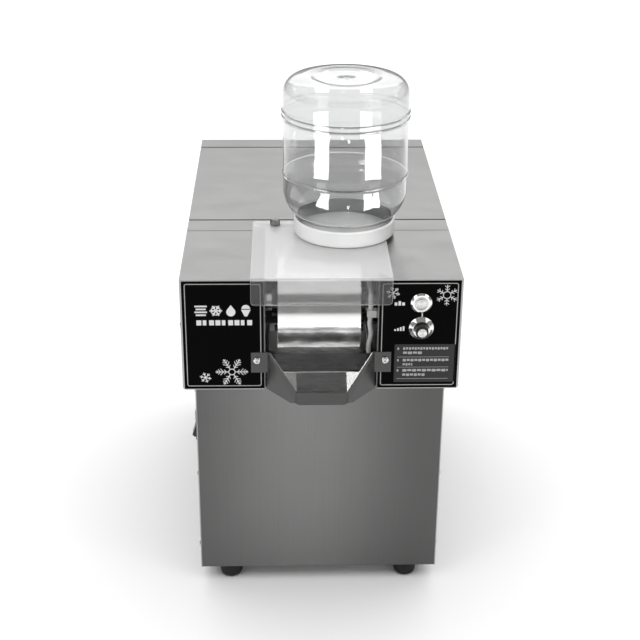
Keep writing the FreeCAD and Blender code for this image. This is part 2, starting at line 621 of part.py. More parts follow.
def deck_plate():
    plate = box(-HEAD_X + SKIN, HEAD_X - SKIN, FASCIA_T + SKIN + 0.2, HEAD_D - SKIN, -HEAD_H, FLOOR)
    corners = [box(-HEAD_X, -HEAD_X + 5, -1, HEAD_D, -HEAD_H - 1, FLOOR + 1)]
    corners.append(mirror_x(corners[0]))
    holes = [rod((DRAIN_X, DRAIN_Y, -140), Z_AXIS, 20, 7.3),
             rod((SUCTION_X, RISER_Y, -140), Z_AXIS, 20, 5.5),
             rod((LIQUID_X, LIQUID_Y, -140), Z_AXIS, 20, 3.7)]
    return cut(plate, corners + holes)


POCKET_BACK = 168.0


def pocket_wall(side):
    xs = sorted((side * MOUTH, side * (MOUTH - SKIN)))
    wall = box(*xs, 0, POCKET_BACK, FLOOR, -1.0)
    wall = wall.cut(box(*xs, SEAM_FRONT, POCKET_BACK + 1, -1.2, 0))
    shaft = rod((-MOUTH - 1, DRUM_Y, DRUM_Z), X_AXIS, 2 * MOUTH + 2, SHAFT_R + 3)
    return wall.cut(shaft)


def pocket_left_wall():
    """This wall also has two pressed stiffening beads and a round sight hole near the front."""
    wall = pocket_wall(-1)
    inner = -MOUTH + SKIN
    beads = [box(inner, inner + 0.8, 5, 128, z - 0.9, z + 0.9).cut(rod((-MOUTH, DRUM_Y, DRUM_Z), X_AXIS, 5, 17))
             for z in (-44.0, -53.0)]
    sight = rod((-MOUTH - 1, 24, -76), X_AXIS, 4, 5.0)
    return fuse([wall] + beads).cut(sight)


def pocket_rear_wall():
    wall = box(-MOUTH, MOUTH, POCKET_BACK, POCKET_BACK + SKIN, FLOOR, -16.2)
    return wall


# ---- drum, drive and scraper --------------------------------------------------------------
BLOCK_X0, BLOCK_X1 = MOUTH, MOUTH + 12.0
GEAR_X0, GEAR_X1 = 74.0, 82.0
SWIVEL_X0, SWIVEL_X1 = -113.0, -84.0
SWIVEL_REACH = 20.0       # its pipe bosses end this far from the drum's axis


def drum_shell():
    left = DRUM_SHIFT - DRUM_HALF
    return pipe_piece((left, DRUM_Y, DRUM_Z), X_AXIS, 2 * DRUM_HALF, DRUM_R, DRUM_R - DRUM_WALL)


BOLT_CIRCLE, BOLT_R, BOLT_H = 40.0, 4.0, 2.8


def drum_end_caps():
    """A disc with a hub at each end, bolted on by three hexagon heads."""
    cap = pipe_piece((DRUM_HALF - 4, DRUM_Y, DRUM_Z), X_AXIS, 4, DRUM_R - DRUM_WALL, SHAFT_R)
    hub = pipe_piece((DRUM_HALF, DRUM_Y, DRUM_Z), X_AXIS, 6, SHAFT_R + 6, SHAFT_R)
    bolts = []
    for turn in (82, 202, 322):
        y = DRUM_Y + BOLT_CIRCLE * math.cos(math.radians(turn))
        z = DRUM_Z + BOLT_CIRCLE * math.sin(math.radians(turn))
        corners = [(DRUM_HALF, y + BOLT_R * math.cos(math.radians(a)), z + BOLT_R * math.sin(math.radians(a)))
                   for a in range(0, 360, 60)]
        bolts.append(prism(corners, (BOLT_H, 0, 0)))
    whole = fuse([cap, hub] + bolts)
    return group([s.translated(Vector(DRUM_SHIFT, 0, 0)) for s in both(whole)])


def drum_shaft():
    return pipe_piece((-96, DRUM_Y, DRUM_Z), X_AXIS, 184, SHAFT_R, 6.0)


def bearing_blocks():
    block = box(BLOCK_X0, BLOCK_X1, DRUM_Y - 21, DRUM_Y + 21, DRUM_Z - 21, DRUM_Z + 21)
    foot = box(BLOCK_X0, BLOCK_X1, DRUM_Y - 15, DRUM_Y + 15, FLOOR, DRUM_Z - 21)
    bore = rod((BLOCK_X0 - 1, DRUM_Y, DRUM_Z), X_AXIS, 20, SHAFT_R + RUN)
    whole = fuse([block, foot]).cut(bore)
    return group(both(whole))


def rotary_joint():
    """Swivel that carries the refrigerant into the turning shaft, on its own foot."""
    barrel = rod((SWIVEL_X0, DRUM_Y, DRUM_Z), X_AXIS, SWIVEL_X1 - SWIVEL_X0, 17)
    foot = box(SWIVEL_X0 + 2, SWIVEL_X1 - 2, DRUM_Y - 14, DRUM_Y + 14, FLOOR, DRUM_Z - 5)
    cold = rod((SUCTION_X, DRUM_Y + 8, DRUM_Z), Y_AXIS, SWIVEL_REACH - 8, 7.0)
    liquid = rod((LIQUID_X, DRUM_Y - SWIVEL_REACH, DRUM_Z), Y_AXIS, SWIVEL_REACH - 8, 5.5)
    bore = rod((-98, DRUM_Y, DRUM_Z), X_AXIS, 30, SHAFT_R + RUN)
    return fuse([barrel, foot, cold, liquid]).cut(bore)


def driven_gear():
    wheel = gear(GEAR_TEETH, DRUM_Y, GEAR_X0, GEAR_X1, 0.40)
    windows = []
    for k in range(6):
        angle = math.radians(60 * k + 30)
        y, z = DRUM_Y + 23 * math.cos(angle), DRUM_Z + 23 * math.sin(angle)
        windows.append(rod((GEAR_X0 - 1, y, z), X_AXIS, 12, 7))
    bore = rod((GEAR_X0 - 1, DRUM_Y, DRUM_Z), X_AXIS, 12, SHAFT_R)
    return cut(wheel, windows + [bore])


MOTOR_FACE = 86.0


def pinion_gear():
    wheel = gear(PINION_TEETH, PINION_Y, GEAR_X0 - 0.5, GEAR_X1 + 0.5, 0.36)
    shaft = rod((GEAR_X1 + 0.5, PINION_Y, DRUM_Z), X_AXIS, 17, 4.0)
    return fuse([wheel, shaft])


def gear_motor():
    gearbox = box(MOTOR_FACE, 106, PINION_Y - 30, PINION_Y + 30, DRUM_Z - 30, DRUM_Z + 30)
    upright = [e for e in gearbox.Edges if abs(e.BoundBox.XLength - 20) < 0.1]
    gearbox = gearbox.makeFillet(5, upright)
    can = rod((106, PINION_Y, DRUM_Z), X_AXIS, 36, 27)
    bore = rod((MOTOR_FACE - 1, PINION_Y, DRUM_Z), X_AXIS, 15, 4.0 + RUN)
    return fuse([gearbox, can]).cut(bore)


def motor_bracket():
    plate = box(MOTOR_FACE - 2, MOTOR_FACE, PINION_Y - 34, PINION_Y + 34, FLOOR, DRUM_Z + 32)
    foot = box(MOTOR_FACE, 125, PINION_Y - 34, PINION_Y + 34, FLOOR, FLOOR + 2)
    hole = rod((MOTOR_FACE - 5, PINION_Y, DRUM_Z), X_AXIS, 10, 7)
    return fuse([plate, foot]).cut(hole)


def milk_tray():
    """Trough behind the drum: the drum itself closes its front, so the milk wets the drum."""
    outer = box(-TRAY_X, TRAY_X, 110, 146, -47, -11)
    pocket = box(-TRAY_X + 2, TRAY_X - 2, 112, 144, -45, -10)
    ears = [box(TRAY_X - 2, MOUTH - SKIN, 136, 146, -47, -45)]
    ears.append(mirror_x(ears[0]))
    near_drum = rod((-MOUTH, DRUM_Y, DRUM_Z), X_AXIS, 2 * MOUTH, DRUM_R + 0.6)
    spill = rod((TRAY_X - 3, SPILL_Y, SPILL_Z), X_AXIS, 5, HOSE_R - 0.8)
    return cut(fuse([outer.cut(pocket)] + ears), [near_drum, spill])


BLADE_Y, BLADE_Z = 14.0, -93.3
BLADE_T, BLADE_TILT = 1.5, 13.6       # it slopes down towards the drum
BLADE_SCREW_Y = 22.0
BLADE_SCREW_XS = (-32.0, 0.0, 32.0)
LIP_Y, LIP_Z = -11.0, -101.8


def tilted(shape):
    """Turns a level piece to the blade's slope."""
    return shape.rotated(Vector(0, BLADE_Y, BLADE_Z), X_AXIS, -BLADE_TILT)


def scraper_blade():
    edge = BLADE_Y + 33
    blade = box(-DRUM_HALF, DRUM_HALF, BLADE_Y, edge, BLADE_Z - BLADE_T, BLADE_Z)
    under = BLADE_Z - BLADE_T - 0.1
    bevel = prism([(-60, edge - 12, under), (-60, edge + 1, under), (-60, edge + 1, BLADE_Z - 0.5)], (120, 0, 0))
    near_drum = rod((-MOUTH, DRUM_Y, DRUM_Z), X_AXIS, 2 * MOUTH, DRUM_R + GAP)
    holes = [rod((x, BLADE_SCREW_Y, BLADE_Z - 8), Z_AXIS, 12, SCREW_HOLE_R) for x in BLADE_SCREW_XS]
    sinks = [cone((x, BLADE_SCREW_Y, BLADE_Z), Vector(0, 0, -1), BLADE_T, 3.8, SCREW_HOLE_R)
             for x in BLADE_SCREW_XS]
    return tilted(cut(blade, [bevel] + holes + sinks)).cut(near_drum)


def blade_screws():
    screws = []
    for x in BLADE_SCREW_XS:
        head = cone((x, BLADE_SCREW_Y, BLADE_Z), Vector(0, 0, -1), BLADE_T, 3.6, SCREW_R - RUN)
        shank = rod((x, BLADE_SCREW_Y, BLADE_Z - 9), Z_AXIS, 9, SCREW_R - RUN)
        slot = box(x - 4, x + 4, BLADE_SCREW_Y - 0.4, BLADE_SCREW_Y + 0.4, BLADE_Z - 0.8, BLADE_Z)
        screws.append(tilted(fuse([head, shank]).cut(slot)))
    return group(screws)


def blade_holder():
    """Bar under the blade, with the sloped apron that the snow slides down."""
    half = MOUTH - SKIN
    under = BLADE_Z - BLADE_T
    front = BLADE_Y - 0.6
    bar = tilted(box(-half, half, BLADE_Y, BLADE_Y + 20, under - 8, under))
    profile = [(12.0, BLADE_Z), (LIP_Y, LIP_Z), (LIP_Y, LIP_Z - 1.5), (11, -97.5), (11, under - 7),
               (16, under - 7), (16, under - 2), (front, under - 0.5), (front, BLADE_Z)]
    apron = prism([(-half, y, z) for y, z in profile], (2 * half, 0, 0))
    corner = prism([(-half - 1, -13, -90), (-half - 1, -13, -120), (-43.5, -13, -120), (-43.5, -13, -103),
                    (-53.5, -13, -90)], (0, 24.9, 0))
    holes = [tilted(rod((x, BLADE_SCREW_Y, BLADE_Z - 12), Z_AXIS, 14, SCREW_R)) for x in BLADE_SCREW_XS]
    hose = rod((HOSE_END_X, HOSE_Y, -114), Z_AXIS, 26, HOSE_R + GAP)
    return cut(fuse([bar, apron]), [corner, mirror_x(corner), hose] + holes)


def chute():
    """Folded sheet scoop: screw ears, two cheeks with turned-in rims, and a trough floor with a lip."""
    t = SHEET
    tip_y = -CHUTE_REACH
    floor_y, floor_z, fold_z = LIP_Y, -103.9, -114.7
    ear = box(-75.6, -57.0, -t, 0, -109, -85)
    ridge_top, ridge_tip = (-57.5, -t, -85.3), (-27.8, tip_y, -127.0)
    back_low, tip_low = (-59.5, -0.3, -128.8), (-35.5, -33.0, -130.0)
    cheek = sheet([ridge_tip, ridge_top, back_low, tip_low], t, (0, -8, -100))
    rim_top, rim_tip = (-53.2, -t, -85.0), (-27.6, tip_y + 2.0, -113.2)
    rim = sheet([ridge_top, ridge_tip, rim_tip, rim_top], t, (-40, -5, -120))
    on_rim = (-39.9, -19.3, -99.7)
    facet = sheet([(-27, floor_y, floor_z), on_rim, rim_tip, (-27, tip_y, fold_z)], t, (-30, -20, -130))
    gusset = sheet([(-27, floor_y, floor_z), on_rim, (-43.0, floor_y, -104.2)], t, (-30, -12, -130))
    section = [(floor_y, floor_z), (tip_y, fold_z), (tip_y, fold_z - t), (floor_y, floor_z - t)]
    floor = prism([(-27, y, z) for y, z in section], (54, 0, 0))
    lip = prism([(-27.2, tip_y, fold_z), (-27.5, tip_y, -127.5), (-24, tip_y, -129.3), (24, tip_y, -129.3),
                 (27.5, tip_y, -127.5), (27.2, tip_y, fold_z)], (0, t, 0))
    keep = box(-80, 80, tip_y, 0, -HEAD_H, -80)
    half = [ear, cheek, rim, facet, gusset]
    other = [mirror_x(s) for s in half]
    whole = fuse(half + other + [floor, lip]).common(keep)
    holes = [rod((sx * CHUTE_SCREW_X, -5, CHUTE_SCREW_Z), Y_AXIS, 10, SCREW_HOLE_R) for sx in (-1, 1)]
    return cut(whole, holes)


def drip_tray():
    outer = box(-58, 58, 12, 140, -127.5, -117)
    inner = box(-56.5, 56.5, 13.5, 138.5, -126, -116)
    spout = rod((DRAIN_X, DRAIN_Y, -144), Z_AXIS, 17, 6.0)
    bore = rod((DRAIN_X, DRAIN_Y, -146), Z_AXIS, 25, 4.2)
    return fuse([outer.cut(inner), spout]).cut(bore)


# ---- clear cover, bottle and valve --------------------------------------------------------
SPOUT_R, SPOUT_LOW = 9.0, -18.0


def acrylic_cover():
    front = -COVER_T - GAP
    top = box(-COVER_HALF, COVER_HALF, front, COVER_BACK, 0, COVER_T)
    back_corners = [e for e in top.Edges if e.BoundBox.ZLength > 2 and e.BoundBox.YMin > 100]
    top = top.makeFillet(4.0, back_corners)
    drop = box(-COVER_HALF, COVER_HALF, front, -GAP, COVER_DROP, COVER_T)
    low_corners = [e for e in drop.Edges if e.BoundBox.YLength > 2 and e.BoundBox.ZMax < COVER_DROP + 1]
    low_corners = [e for e in low_corners if e.BoundBox.XLength < 1]
    drop = drop.makeFillet(4.0, low_corners)
    holes = [rod((BOTTLE_X, BOTTLE_Y, -1), Z_AXIS, 6, SPOUT_R + 2),
             rod((THUMB_X, THUMB_Y, -1), Z_AXIS, 6, 2.5 + RUN)]
    return cut(fuse([top, drop]), holes)


def cover_thumb_screw():
    head = rod((THUMB_X, THUMB_Y, COVER_T + 0.4), Z_AXIS, 6.6, 5.75)
    knurls = []
    for k in range(24):
        angle = 2 * math.pi * k / 24
        x, y = THUMB_X + 5.95 * math.cos(angle), THUMB_Y + 5.95 * math.sin(angle)
        knurls.append(rod((x, y, COVER_T), Z_AXIS, 5.6, 0.45))
    collar = rod((THUMB_X, THUMB_Y, COVER_T + 0.05), Z_AXIS, 0.4, 4.0)
    shank = rod((THUMB_X, THUMB_Y, -10), Z_AXIS, COVER_T + 10.1, 2.5)
    return fuse([cut(head, knurls), collar, shank])


NECK_R = 52.8
CAP_RIBS = 72


def bottle_cap():
    disc = rod((BOTTLE_X, BOTTLE_Y, COVER_T), Z_AXIS, 2.5, CAP_R)
    skirt = pipe_piece((BOTTLE_X, BOTTLE_Y, COVER_T), Z_AXIS, CAP_TOP - COVER_T, CAP_R, NECK_R + 1.7)
    ribs = []
    for k in range(CAP_RIBS):
        angle = 2 * math.pi * k / CAP_RIBS
        x = BOTTLE_X + (CAP_R + 0.35) * math.cos(angle)
        y = BOTTLE_Y + (CAP_R + 0.35) * math.sin(angle)
        ribs.append(rod((x, y, COVER_T - 1), Z_AXIS, CAP_TOP, 0.8))
    spout = rod((BOTTLE_X, BOTTLE_Y, SPOUT_LOW), Z_AXIS, COVER_T - SPOUT_LOW, SPOUT_R)
    well = rod((BOTTLE_X, BOTTLE_Y, SPOUT_LOW - 1), Z_AXIS, COVER_T - SPOUT_LOW + 1, SPOUT_R - 2)
    seat = rod((BOTTLE_X, BOTTLE_Y, COVER_T - 1), Z_AXIS, 6, 4.0)
    return cut(fuse([disc, skirt, spout]), ribs + [well, seat])


def valve_plunger():
    """Rod with the sealing disc above the seat and a spring collar below it."""
    stem = rod((BOTTLE_X, BOTTLE_Y, -22), Z_AXIS, 30, 1.6)
    disc = rod((BOTTLE_X, BOTTLE_Y, COVER_T + 2.5 + GAP), Z_AXIS, 2.2, 6.5)
    collar = rod((BOTTLE_X, BOTTLE_Y, -14), Z_AXIS, 1.5, 6.2)
    return fuse([stem, disc, collar])


def valve_spring():
    low, high, wire = -12.2, COVER_T - 0.3, 0.6
    turns = 5
    pitch = (high - low - 2 * wire) / turns
    helix = Part.makeHelix(pitch, high - low - 2 * wire, 5.2)
    ring = Part.Wire([Part.Circle(Vector(5.2, 0, 0), Y_AXIS, wire).toShape()])
    coil = Part.Wire(helix.Edges).makePipeShell([ring], True, True)
    return coil.translated(Vector(BOTTLE_X, BOTTLE_Y, low + wire))


def arc_points(centre, radius, start, end, steps):
    """Points along an arc in the (radius, z) plane, angles in degrees."""
    out = []
    for k in range(steps + 1):
        angle = math.radians(start + (end - start) * k / steps)
        out.append((centre[0] + radius * math.cos(angle), centre[1] + radius * math.sin(angle)))
    return out


JAR_R, JAR_TOP = 69.4, 182.9
SHOULDER_R, SHOULDER_Z = 36.0, 55.4
CROWN_R, CROWN_Z = 17.0, 164.5


def jar_outline(wall):
    """Jar standing on its mouth, its wall offset inwards by a thickness."""
    r = JAR_R - wall
    neck = NECK_R - wall
    shoulder_x = JAR_R - SHOULDER_R
    crown_x = JAR_R - CROWN_R
    low = -math.degrees(math.acos((NECK_R + 1.0 - shoulder_x) / SHOULDER_R))
    lower = [(neck, 5.8), (neck, 24.0)]
    shoulder = arc_points((shoulder_x, SHOULDER_Z), SHOULDER_R - wall, low, 0.0, 10)
    rib_low = [(r, 70.0), (r + 1.2, 72.0), (r + 1.2, 76.0), (r, 78.0)]
    rib_high = [(r, 136.0), (r + 1.7, 138.5), (r + 1.7, 145.5), (r, 148.0)]
    crown = arc_points((crown_x, CROWN_Z), CROWN_R - wall, 0.0, 64.0, 8)
    recess = ((41.0, 0.0), (36.5, 0.8), (33.5, 3.0), (28.0, 3.7), (0.0, 4.0))
    punt = [(radius, JAR_TOP - drop - wall) for radius, drop in recess]
    return lower + shoulder + rib_low + rib_high + crown + punt


def bottle():
    outer = jar_outline(0.0)
    inner = jar_outline(1.2)
    outline = outer + list(reversed(inner))
    return revolve_z(outline, BOTTLE_X, BOTTLE_Y)


# ---- every piece --------------------------------------------------------------------------
def main():
    os.makedirs("parts", exist_ok=True)
    pieces = [
        base_pan, rubber_feet, corner_posts, lower_front_panel, lower_left_panel, lower_back_panel, deck_plate,
        compressor, compressor_grommets, condenser, fan_shroud, fan_motor, fan_blades, filter_drier,
        discharge_pipe, liquid_pipe, suction_pipe, control_box, run_capacitor, drain_hose, rocker_housing,
        rocker_paddle, power_inlet, pan_head_screws, head_left_shell, head_right_shell, head_back_panel,
        top_crossbar, rear_lid, pocket_left_wall, pocket_rear_wall, chute, blade_holder, scraper_blade,
        blade_screws, drip_tray, drum_shell, drum_end_caps, drum_shaft, bearing_blocks, rotary_joint,
        driven_gear, pinion_gear,
        gear_motor, motor_bracket, milk_tray, acrylic_cover, cover_thumb_screw, start_button_body,
        start_button_cap, speed_control_body, speed_knob, bottle, bottle_cap, valve_plunger, valve_spring,
    ]
    for piece in pieces:
        save(piece.__name__, piece())
    save("lower_right_panel", side_panel(1))
    save("pocket_right_wall", pocket_wall(1))
    save("left_fascia", fascia(-1))
    save("right_fascia", fascia(1))


main()
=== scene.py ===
"""Looks of the countertop snow-ice machine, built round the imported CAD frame. Metres, +Z up."""
import json
import math

import bmesh
import bpy
from mathutils import Matrix, Vector


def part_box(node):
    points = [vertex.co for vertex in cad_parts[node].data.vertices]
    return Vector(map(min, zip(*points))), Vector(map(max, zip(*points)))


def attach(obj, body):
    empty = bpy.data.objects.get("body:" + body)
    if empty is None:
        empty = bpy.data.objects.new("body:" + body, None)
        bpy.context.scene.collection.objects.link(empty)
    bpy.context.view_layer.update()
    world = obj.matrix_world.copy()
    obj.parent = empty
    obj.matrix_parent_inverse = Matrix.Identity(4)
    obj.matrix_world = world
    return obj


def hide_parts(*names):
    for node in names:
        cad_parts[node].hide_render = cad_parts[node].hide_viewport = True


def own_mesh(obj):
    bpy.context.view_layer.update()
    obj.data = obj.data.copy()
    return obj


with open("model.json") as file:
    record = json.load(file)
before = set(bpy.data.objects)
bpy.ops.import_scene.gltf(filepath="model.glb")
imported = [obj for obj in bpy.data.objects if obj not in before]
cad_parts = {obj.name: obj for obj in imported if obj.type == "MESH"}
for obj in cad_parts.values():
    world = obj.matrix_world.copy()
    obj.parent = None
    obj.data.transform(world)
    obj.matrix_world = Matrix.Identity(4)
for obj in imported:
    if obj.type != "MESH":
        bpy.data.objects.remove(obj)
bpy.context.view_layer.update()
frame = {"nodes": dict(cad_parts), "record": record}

MM = 0.001
OUTWARD = (0, -1, 0)                      # out of the front face, the way the controls point

# ---- places read from the frame -----------------------------------------------------------
FASCIA_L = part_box("left_fascia")
FASCIA_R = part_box("right_fascia")
FRONT = FASCIA_L[0].y                     # front face of the head
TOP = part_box("rear_lid")[1].z             # top face of the head
JAR_LOW, JAR_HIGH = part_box("bottle")
JAR_AXIS = (JAR_LOW + JAR_HIGH) / 2
NODE_SLOT = {row["node"]: row["material_slot"] for row in frame["record"]["subparts"]}


# ---- camera, floor and lights -------------------------------------------------------------
CAMERA_AT = Vector((-0.0414, -1.5257, 0.9742))
PITCH, YAW, ROLL = math.radians(25.27), math.radians(1.75), math.radians(-0.48)
SENSOR, LENS = 36.0, 76.24
WORLD_STRENGTH = 0.25
FLOOR_HALF = 9.0

# name, place, target, width, height, power
ROOM_LAMPS = (
    ("ceiling", (0, 1.0, 3.2), (0, 1.0, 0), 8.0, 8.0, 330),
    ("strip_left", (-1.35, -1.45, 0.95), (0, 0, 0.35), 0.62, 1.7, 5),
    ("strip_right", (1.45, -1.20, 0.95), (0, 0, 0.35), 0.72, 1.7, 4),
    ("back_high", (0, 2.6, 1.75), (0, 0, 0.45), 2.6, 1.3, 12),
)
# name, angle round the drum of the line it aims at, angle it stands at from there, distance, width, power
DRUM_LAMPS = (
    ("drum_front", -6.0, -37.0, 0.35, 0.09, 0.22),
    ("drum_front_low", -12.0, -48.0, 0.35, 0.05, 2.2),
    ("drum_under", -42.0, -116.0, 0.20, 0.06, 3.6),
)
DRUM_LAMP_LENGTH = 0.5
# name, direction it stands in from the chute, power
CHUTE_LAMPS = (("facet_right_glow", (-0.64, 0.44, 0.63), 52), ("facet_left_glow", (0.64, 0.44, 0.63), 16))
CHUTE_LAMP_SIZE, CHUTE_LAMP_REACH = 0.35, 0.8
# name, angle to the right of the jar's front, height of its low and high edge, width, power
JAR_LAMPS = (
    ("glint_left", -46.0, 0.02, 0.36, 0.30, 6.0),
    ("glint_right", 46.0, 0.02, 0.36, 0.36, 7.5),
    ("glint_lamp", 2.0, 0.19, 0.24, 0.05, 0.10),
    ("glint_lamp_low", 2.0, 0.03, 0.06, 0.05, 0.10),
)
JAR_LAMP_REACH = 0.65
CAP_LAMP_SIZE, CAP_LAMP_POWER = 0.5, 3.2
CAP_LAMP_FRONT, CAP_LAMP_OVER = 0.8, 0.5


def make_camera():
    forward = Vector((math.sin(YAW) * math.cos(PITCH), math.cos(YAW) * math.cos(PITCH), -math.sin(PITCH)))
    level = Vector((math.cos(YAW), -math.sin(YAW), 0))
    down = forward.cross(level)
    right = level * math.cos(ROLL) + down * math.sin(ROLL)
    up = level * math.sin(ROLL) - down * math.cos(ROLL)
    data = bpy.data.cameras.new("camera")
    data.sensor_width = SENSOR
    data.lens = LENS
    camera = bpy.data.objects.new("camera", data)
    bpy.context.scene.collection.objects.link(camera)
    turn = Matrix((right, up, -forward)).transposed()
    camera.matrix_world = Matrix.Translation(CAMERA_AT) @ turn.to_4x4()
    bpy.context.scene.camera = camera


def area_light(name, at, target, width, height, power):
    data = bpy.data.lights.new(name, "AREA")
    data.shape = "RECTANGLE"
    data.size = width
    data.size_y = height
    data.energy = power
    light = bpy.data.objects.new(name, data)
    bpy.context.scene.collection.objects.link(light)
    aim = (Vector(target) - Vector(at)).to_track_quat("-Z", "Y")
    light.matrix_world = Matrix.Translation(at) @ aim.to_matrix().to_4x4()
    light.visible_camera = False
    return light


def make_floor():
    half = FLOOR_HALF
    mesh = bpy.data.meshes.new("floor")
    corners = [(-half, -half, 0), (half, -half, 0), (half, half, 0), (-half, half, 0)]
    mesh.from_pydata(corners, [], [(0, 1, 2, 3)])
    floor = bpy.data.objects.new("floor", mesh)
    bpy.context.scene.collection.objects.link(floor)
    shader = new_material("pale_floor")
    shader.inputs["Base Color"].default_value = (0.86, 0.86, 0.86, 1)
    shader.inputs["Roughness"].default_value = 0.9
    shader.inputs["Specular IOR Level"].default_value = 0.2
    mesh.materials.append(PAINT["pale_floor"])


def make_lights():
    world = bpy.data.worlds.new("studio")
    world.use_nodes = True
    world.node_tree.nodes["Background"].inputs["Color"].default_value = (1, 1, 1, 1)
    world.node_tree.nodes["Background"].inputs["Strength"].default_value = WORLD_STRENGTH
    bpy.context.scene.world = world
    for row in ROOM_LAMPS:
        lamp = area_light(*row)
        if lamp.name == "ceiling":
            lamp.visible_glossy = False


def only_for(lamps, objects, through=False):
    """Keeps lamps to the given objects; with through, nothing else of the machine shades them."""
    group = bpy.data.collections.new(lamps[0].name + "_receivers")
    for piece in objects:
        group.objects.link(piece)
    for lamp in lamps:
        lamp.light_linking.receiver_collection = group
        if through:
            lamp.light_linking.blocker_collection = group


def front_direction(degrees):
    """Unit vector across the drum: 0 points forward, 90 up and -90 down."""
    angle = math.radians(degrees)
    return Vector((0, -math.cos(angle), math.sin(angle)))


def make_drum_glow(drum):
    """Soft boxes low in front of and under the drum: its bright middle, dark band and bright lower strip."""
    low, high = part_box("drum_shell")
    centre = (low + high) / 2
    radius = (high.z - low.z) / 2
    lamps = []
    for name, facing, tilt, reach, width, power in DRUM_LAMPS:
        spot = centre + radius * front_direction(facing)
        at = spot + reach * front_direction(tilt)
        lamps.append(area_light(name, at, spot, DRUM_LAMP_LENGTH, width, power))
    only_for(lamps, [drum], through=True)


def make_chute_glow():
    """Soft boxes that the chute's two slanted facets mirror, the right one brighter."""
    low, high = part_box("chute")
    facets_behind_lip, facets_over_floor = 12 * MM, 18 * MM
    aim = Vector(((low.x + high.x) / 2, low.y + facets_behind_lip, low.z + facets_over_floor))
    lamps = []
    for name, direction, power in CHUTE_LAMPS:
        at = aim + CHUTE_LAMP_REACH * Vector(direction)
        lamps.append(area_light(name, at, aim, CHUTE_LAMP_SIZE, CHUTE_LAMP_SIZE, power))
    only_for(lamps, [frame["nodes"]["chute"]], through=True)


def make_jar_glints(jar, cap):
    """Soft boxes and small lamps in front that only the clear jar picks up, and one for its white cap."""
    x, y = JAR_AXIS.x, JAR_AXIS.y
    lamps = []
    for name, azimuth, low, high, width, power in JAR_LAMPS:
        angle = math.radians(azimuth) + YAW
        z = (low + high) / 2
        at = (x + JAR_LAMP_REACH * math.sin(angle), y - JAR_LAMP_REACH * math.cos(angle), z)
        lamps.append(area_light(name, at, (x, y, z), width, high - low, power))
    only_for(lamps, [jar])
    at = (x, y - CAP_LAMP_FRONT, TOP + CAP_LAMP_OVER)
    only_for([area_light("cap_lamp", at, (x, y, TOP), CAP_LAMP_SIZE, CAP_LAMP_SIZE, CAP_LAMP_POWER)], [cap])


# ---- materials ----------------------------------------------------------------------------
PAINT = {}
EVEN = (1, 1, 1)
GRAIN = {"x": (8, 2600, 2600), "y": (2600, 8, 2600), "z": (2600, 2600, 8)}     # long along one axis
TOOL_MARKS = (600, 600, 600)
NOISE_SPAN = (0.3, 0.7)                   # most of a noise's values lie in this range
METAL_GRAIN = 0.01 * MM                   # depth of brushed and turned marks
RING_PITCH = 0.28 * MM                    # turned rings of the button and the knob's disc


def new_material(name):
    """A Principled material, kept in PAINT; returns its shader node."""
    material = bpy.data.materials.new(name)
    material.use_nodes = True
    PAINT[name] = material
    return material.node_tree.nodes["Principled BSDF"]


def feed(socket, value):
    """Puts a constant or another node's output into a socket."""
    if isinstance(value, bpy.types.NodeSocket):
        socket.id_data.links.new(value, socket)
    else:
        socket.default_value = value


def node(shader, kind, **sockets):
    """Adds a node to the shader's tree and feeds its sockets by name."""
    made = shader.id_data.nodes.new(kind)
    for key, value in sockets.items():
        feed(made.inputs[key.replace("_", " ")], value)
    return made


def calculate(shader, operation, *values):
    """A math node over constants or other nodes' outputs."""
    made = node(shader, "ShaderNodeMath")
    made.operation = operation
    for socket, value in zip(made.inputs, values):
        feed(socket, value)
    return made.outputs["Value"]


def coordinates(shader):
    """The machine's own place, in metres."""
    return node(shader, "ShaderNodeTexCoord").outputs["Object"]


def noise(shader, scale, stretch=EVEN, detail=3.0):
    """Noise in the machine's own metres, stretched by an axis-wise scale."""
    mapping = node(shader, "ShaderNodeMapping", Vector=coordinates(shader), Scale=stretch)
    made = node(shader, "ShaderNodeTexNoise", Vector=mapping.outputs["Vector"], Scale=scale, Detail=detail)
    return made.outputs["Fac"]


def remap(shader, value, source, target, smooth=False):
    """Maps a value from one (low, high) range to another, evenly or in an S curve."""
    made = node(shader, "ShaderNodeMapRange", Value=value, From_Min=source[0], From_Max=source[1],
                To_Min=target[0], To_Max=target[1])
    if smooth:
        made.interpolation_type = "SMOOTHSTEP"
    return made.outputs["Result"]


def spread(shader, value, low, high):
    """Maps a noise's usual span to a range."""
    return remap(shader, value, NOISE_SPAN, (low, high))


def tint(shader, value, dark, light):
    """Blends two greys or colours by a noise's usual span."""
    ramp = node(shader, "ShaderNodeValToRGB", Fac=value)
    for stop, position, colour in zip(ramp.color_ramp.elements, NOISE_SPAN, (dark, light)):
        stop.position = position
        stop.color = (*colour, 1)
    return ramp.outputs["Color"]


def bump(shader, height, distance, strength):
    return node(shader, "ShaderNodeBump", Height=height, Distance=distance, Strength=strength).outputs["Normal"]


def grey(value):
    return (value, value, value * 0.99)


def paint_side_shade(shader, colour, centre, reach, share):
    """Painted shade: darkens a colour smoothly from a centre plane towards both sides, standing in for darker
    reflections there.
    """
    parts = node(shader, "ShaderNodeSeparateXYZ", Vector=coordinates(shader))
    far = calculate(shader, "ABSOLUTE", calculate(shader, "SUBTRACT", parts.outputs["X"], centre))
    scaled = node(shader, "ShaderNodeVectorMath")
    scaled.operation = "SCALE"
    feed(scaled.inputs[0], colour)
    feed(scaled.inputs["Scale"], remap(shader, far, (0.0, reach), (1.0, share), smooth=True))
    return scaled.outputs["Vector"]


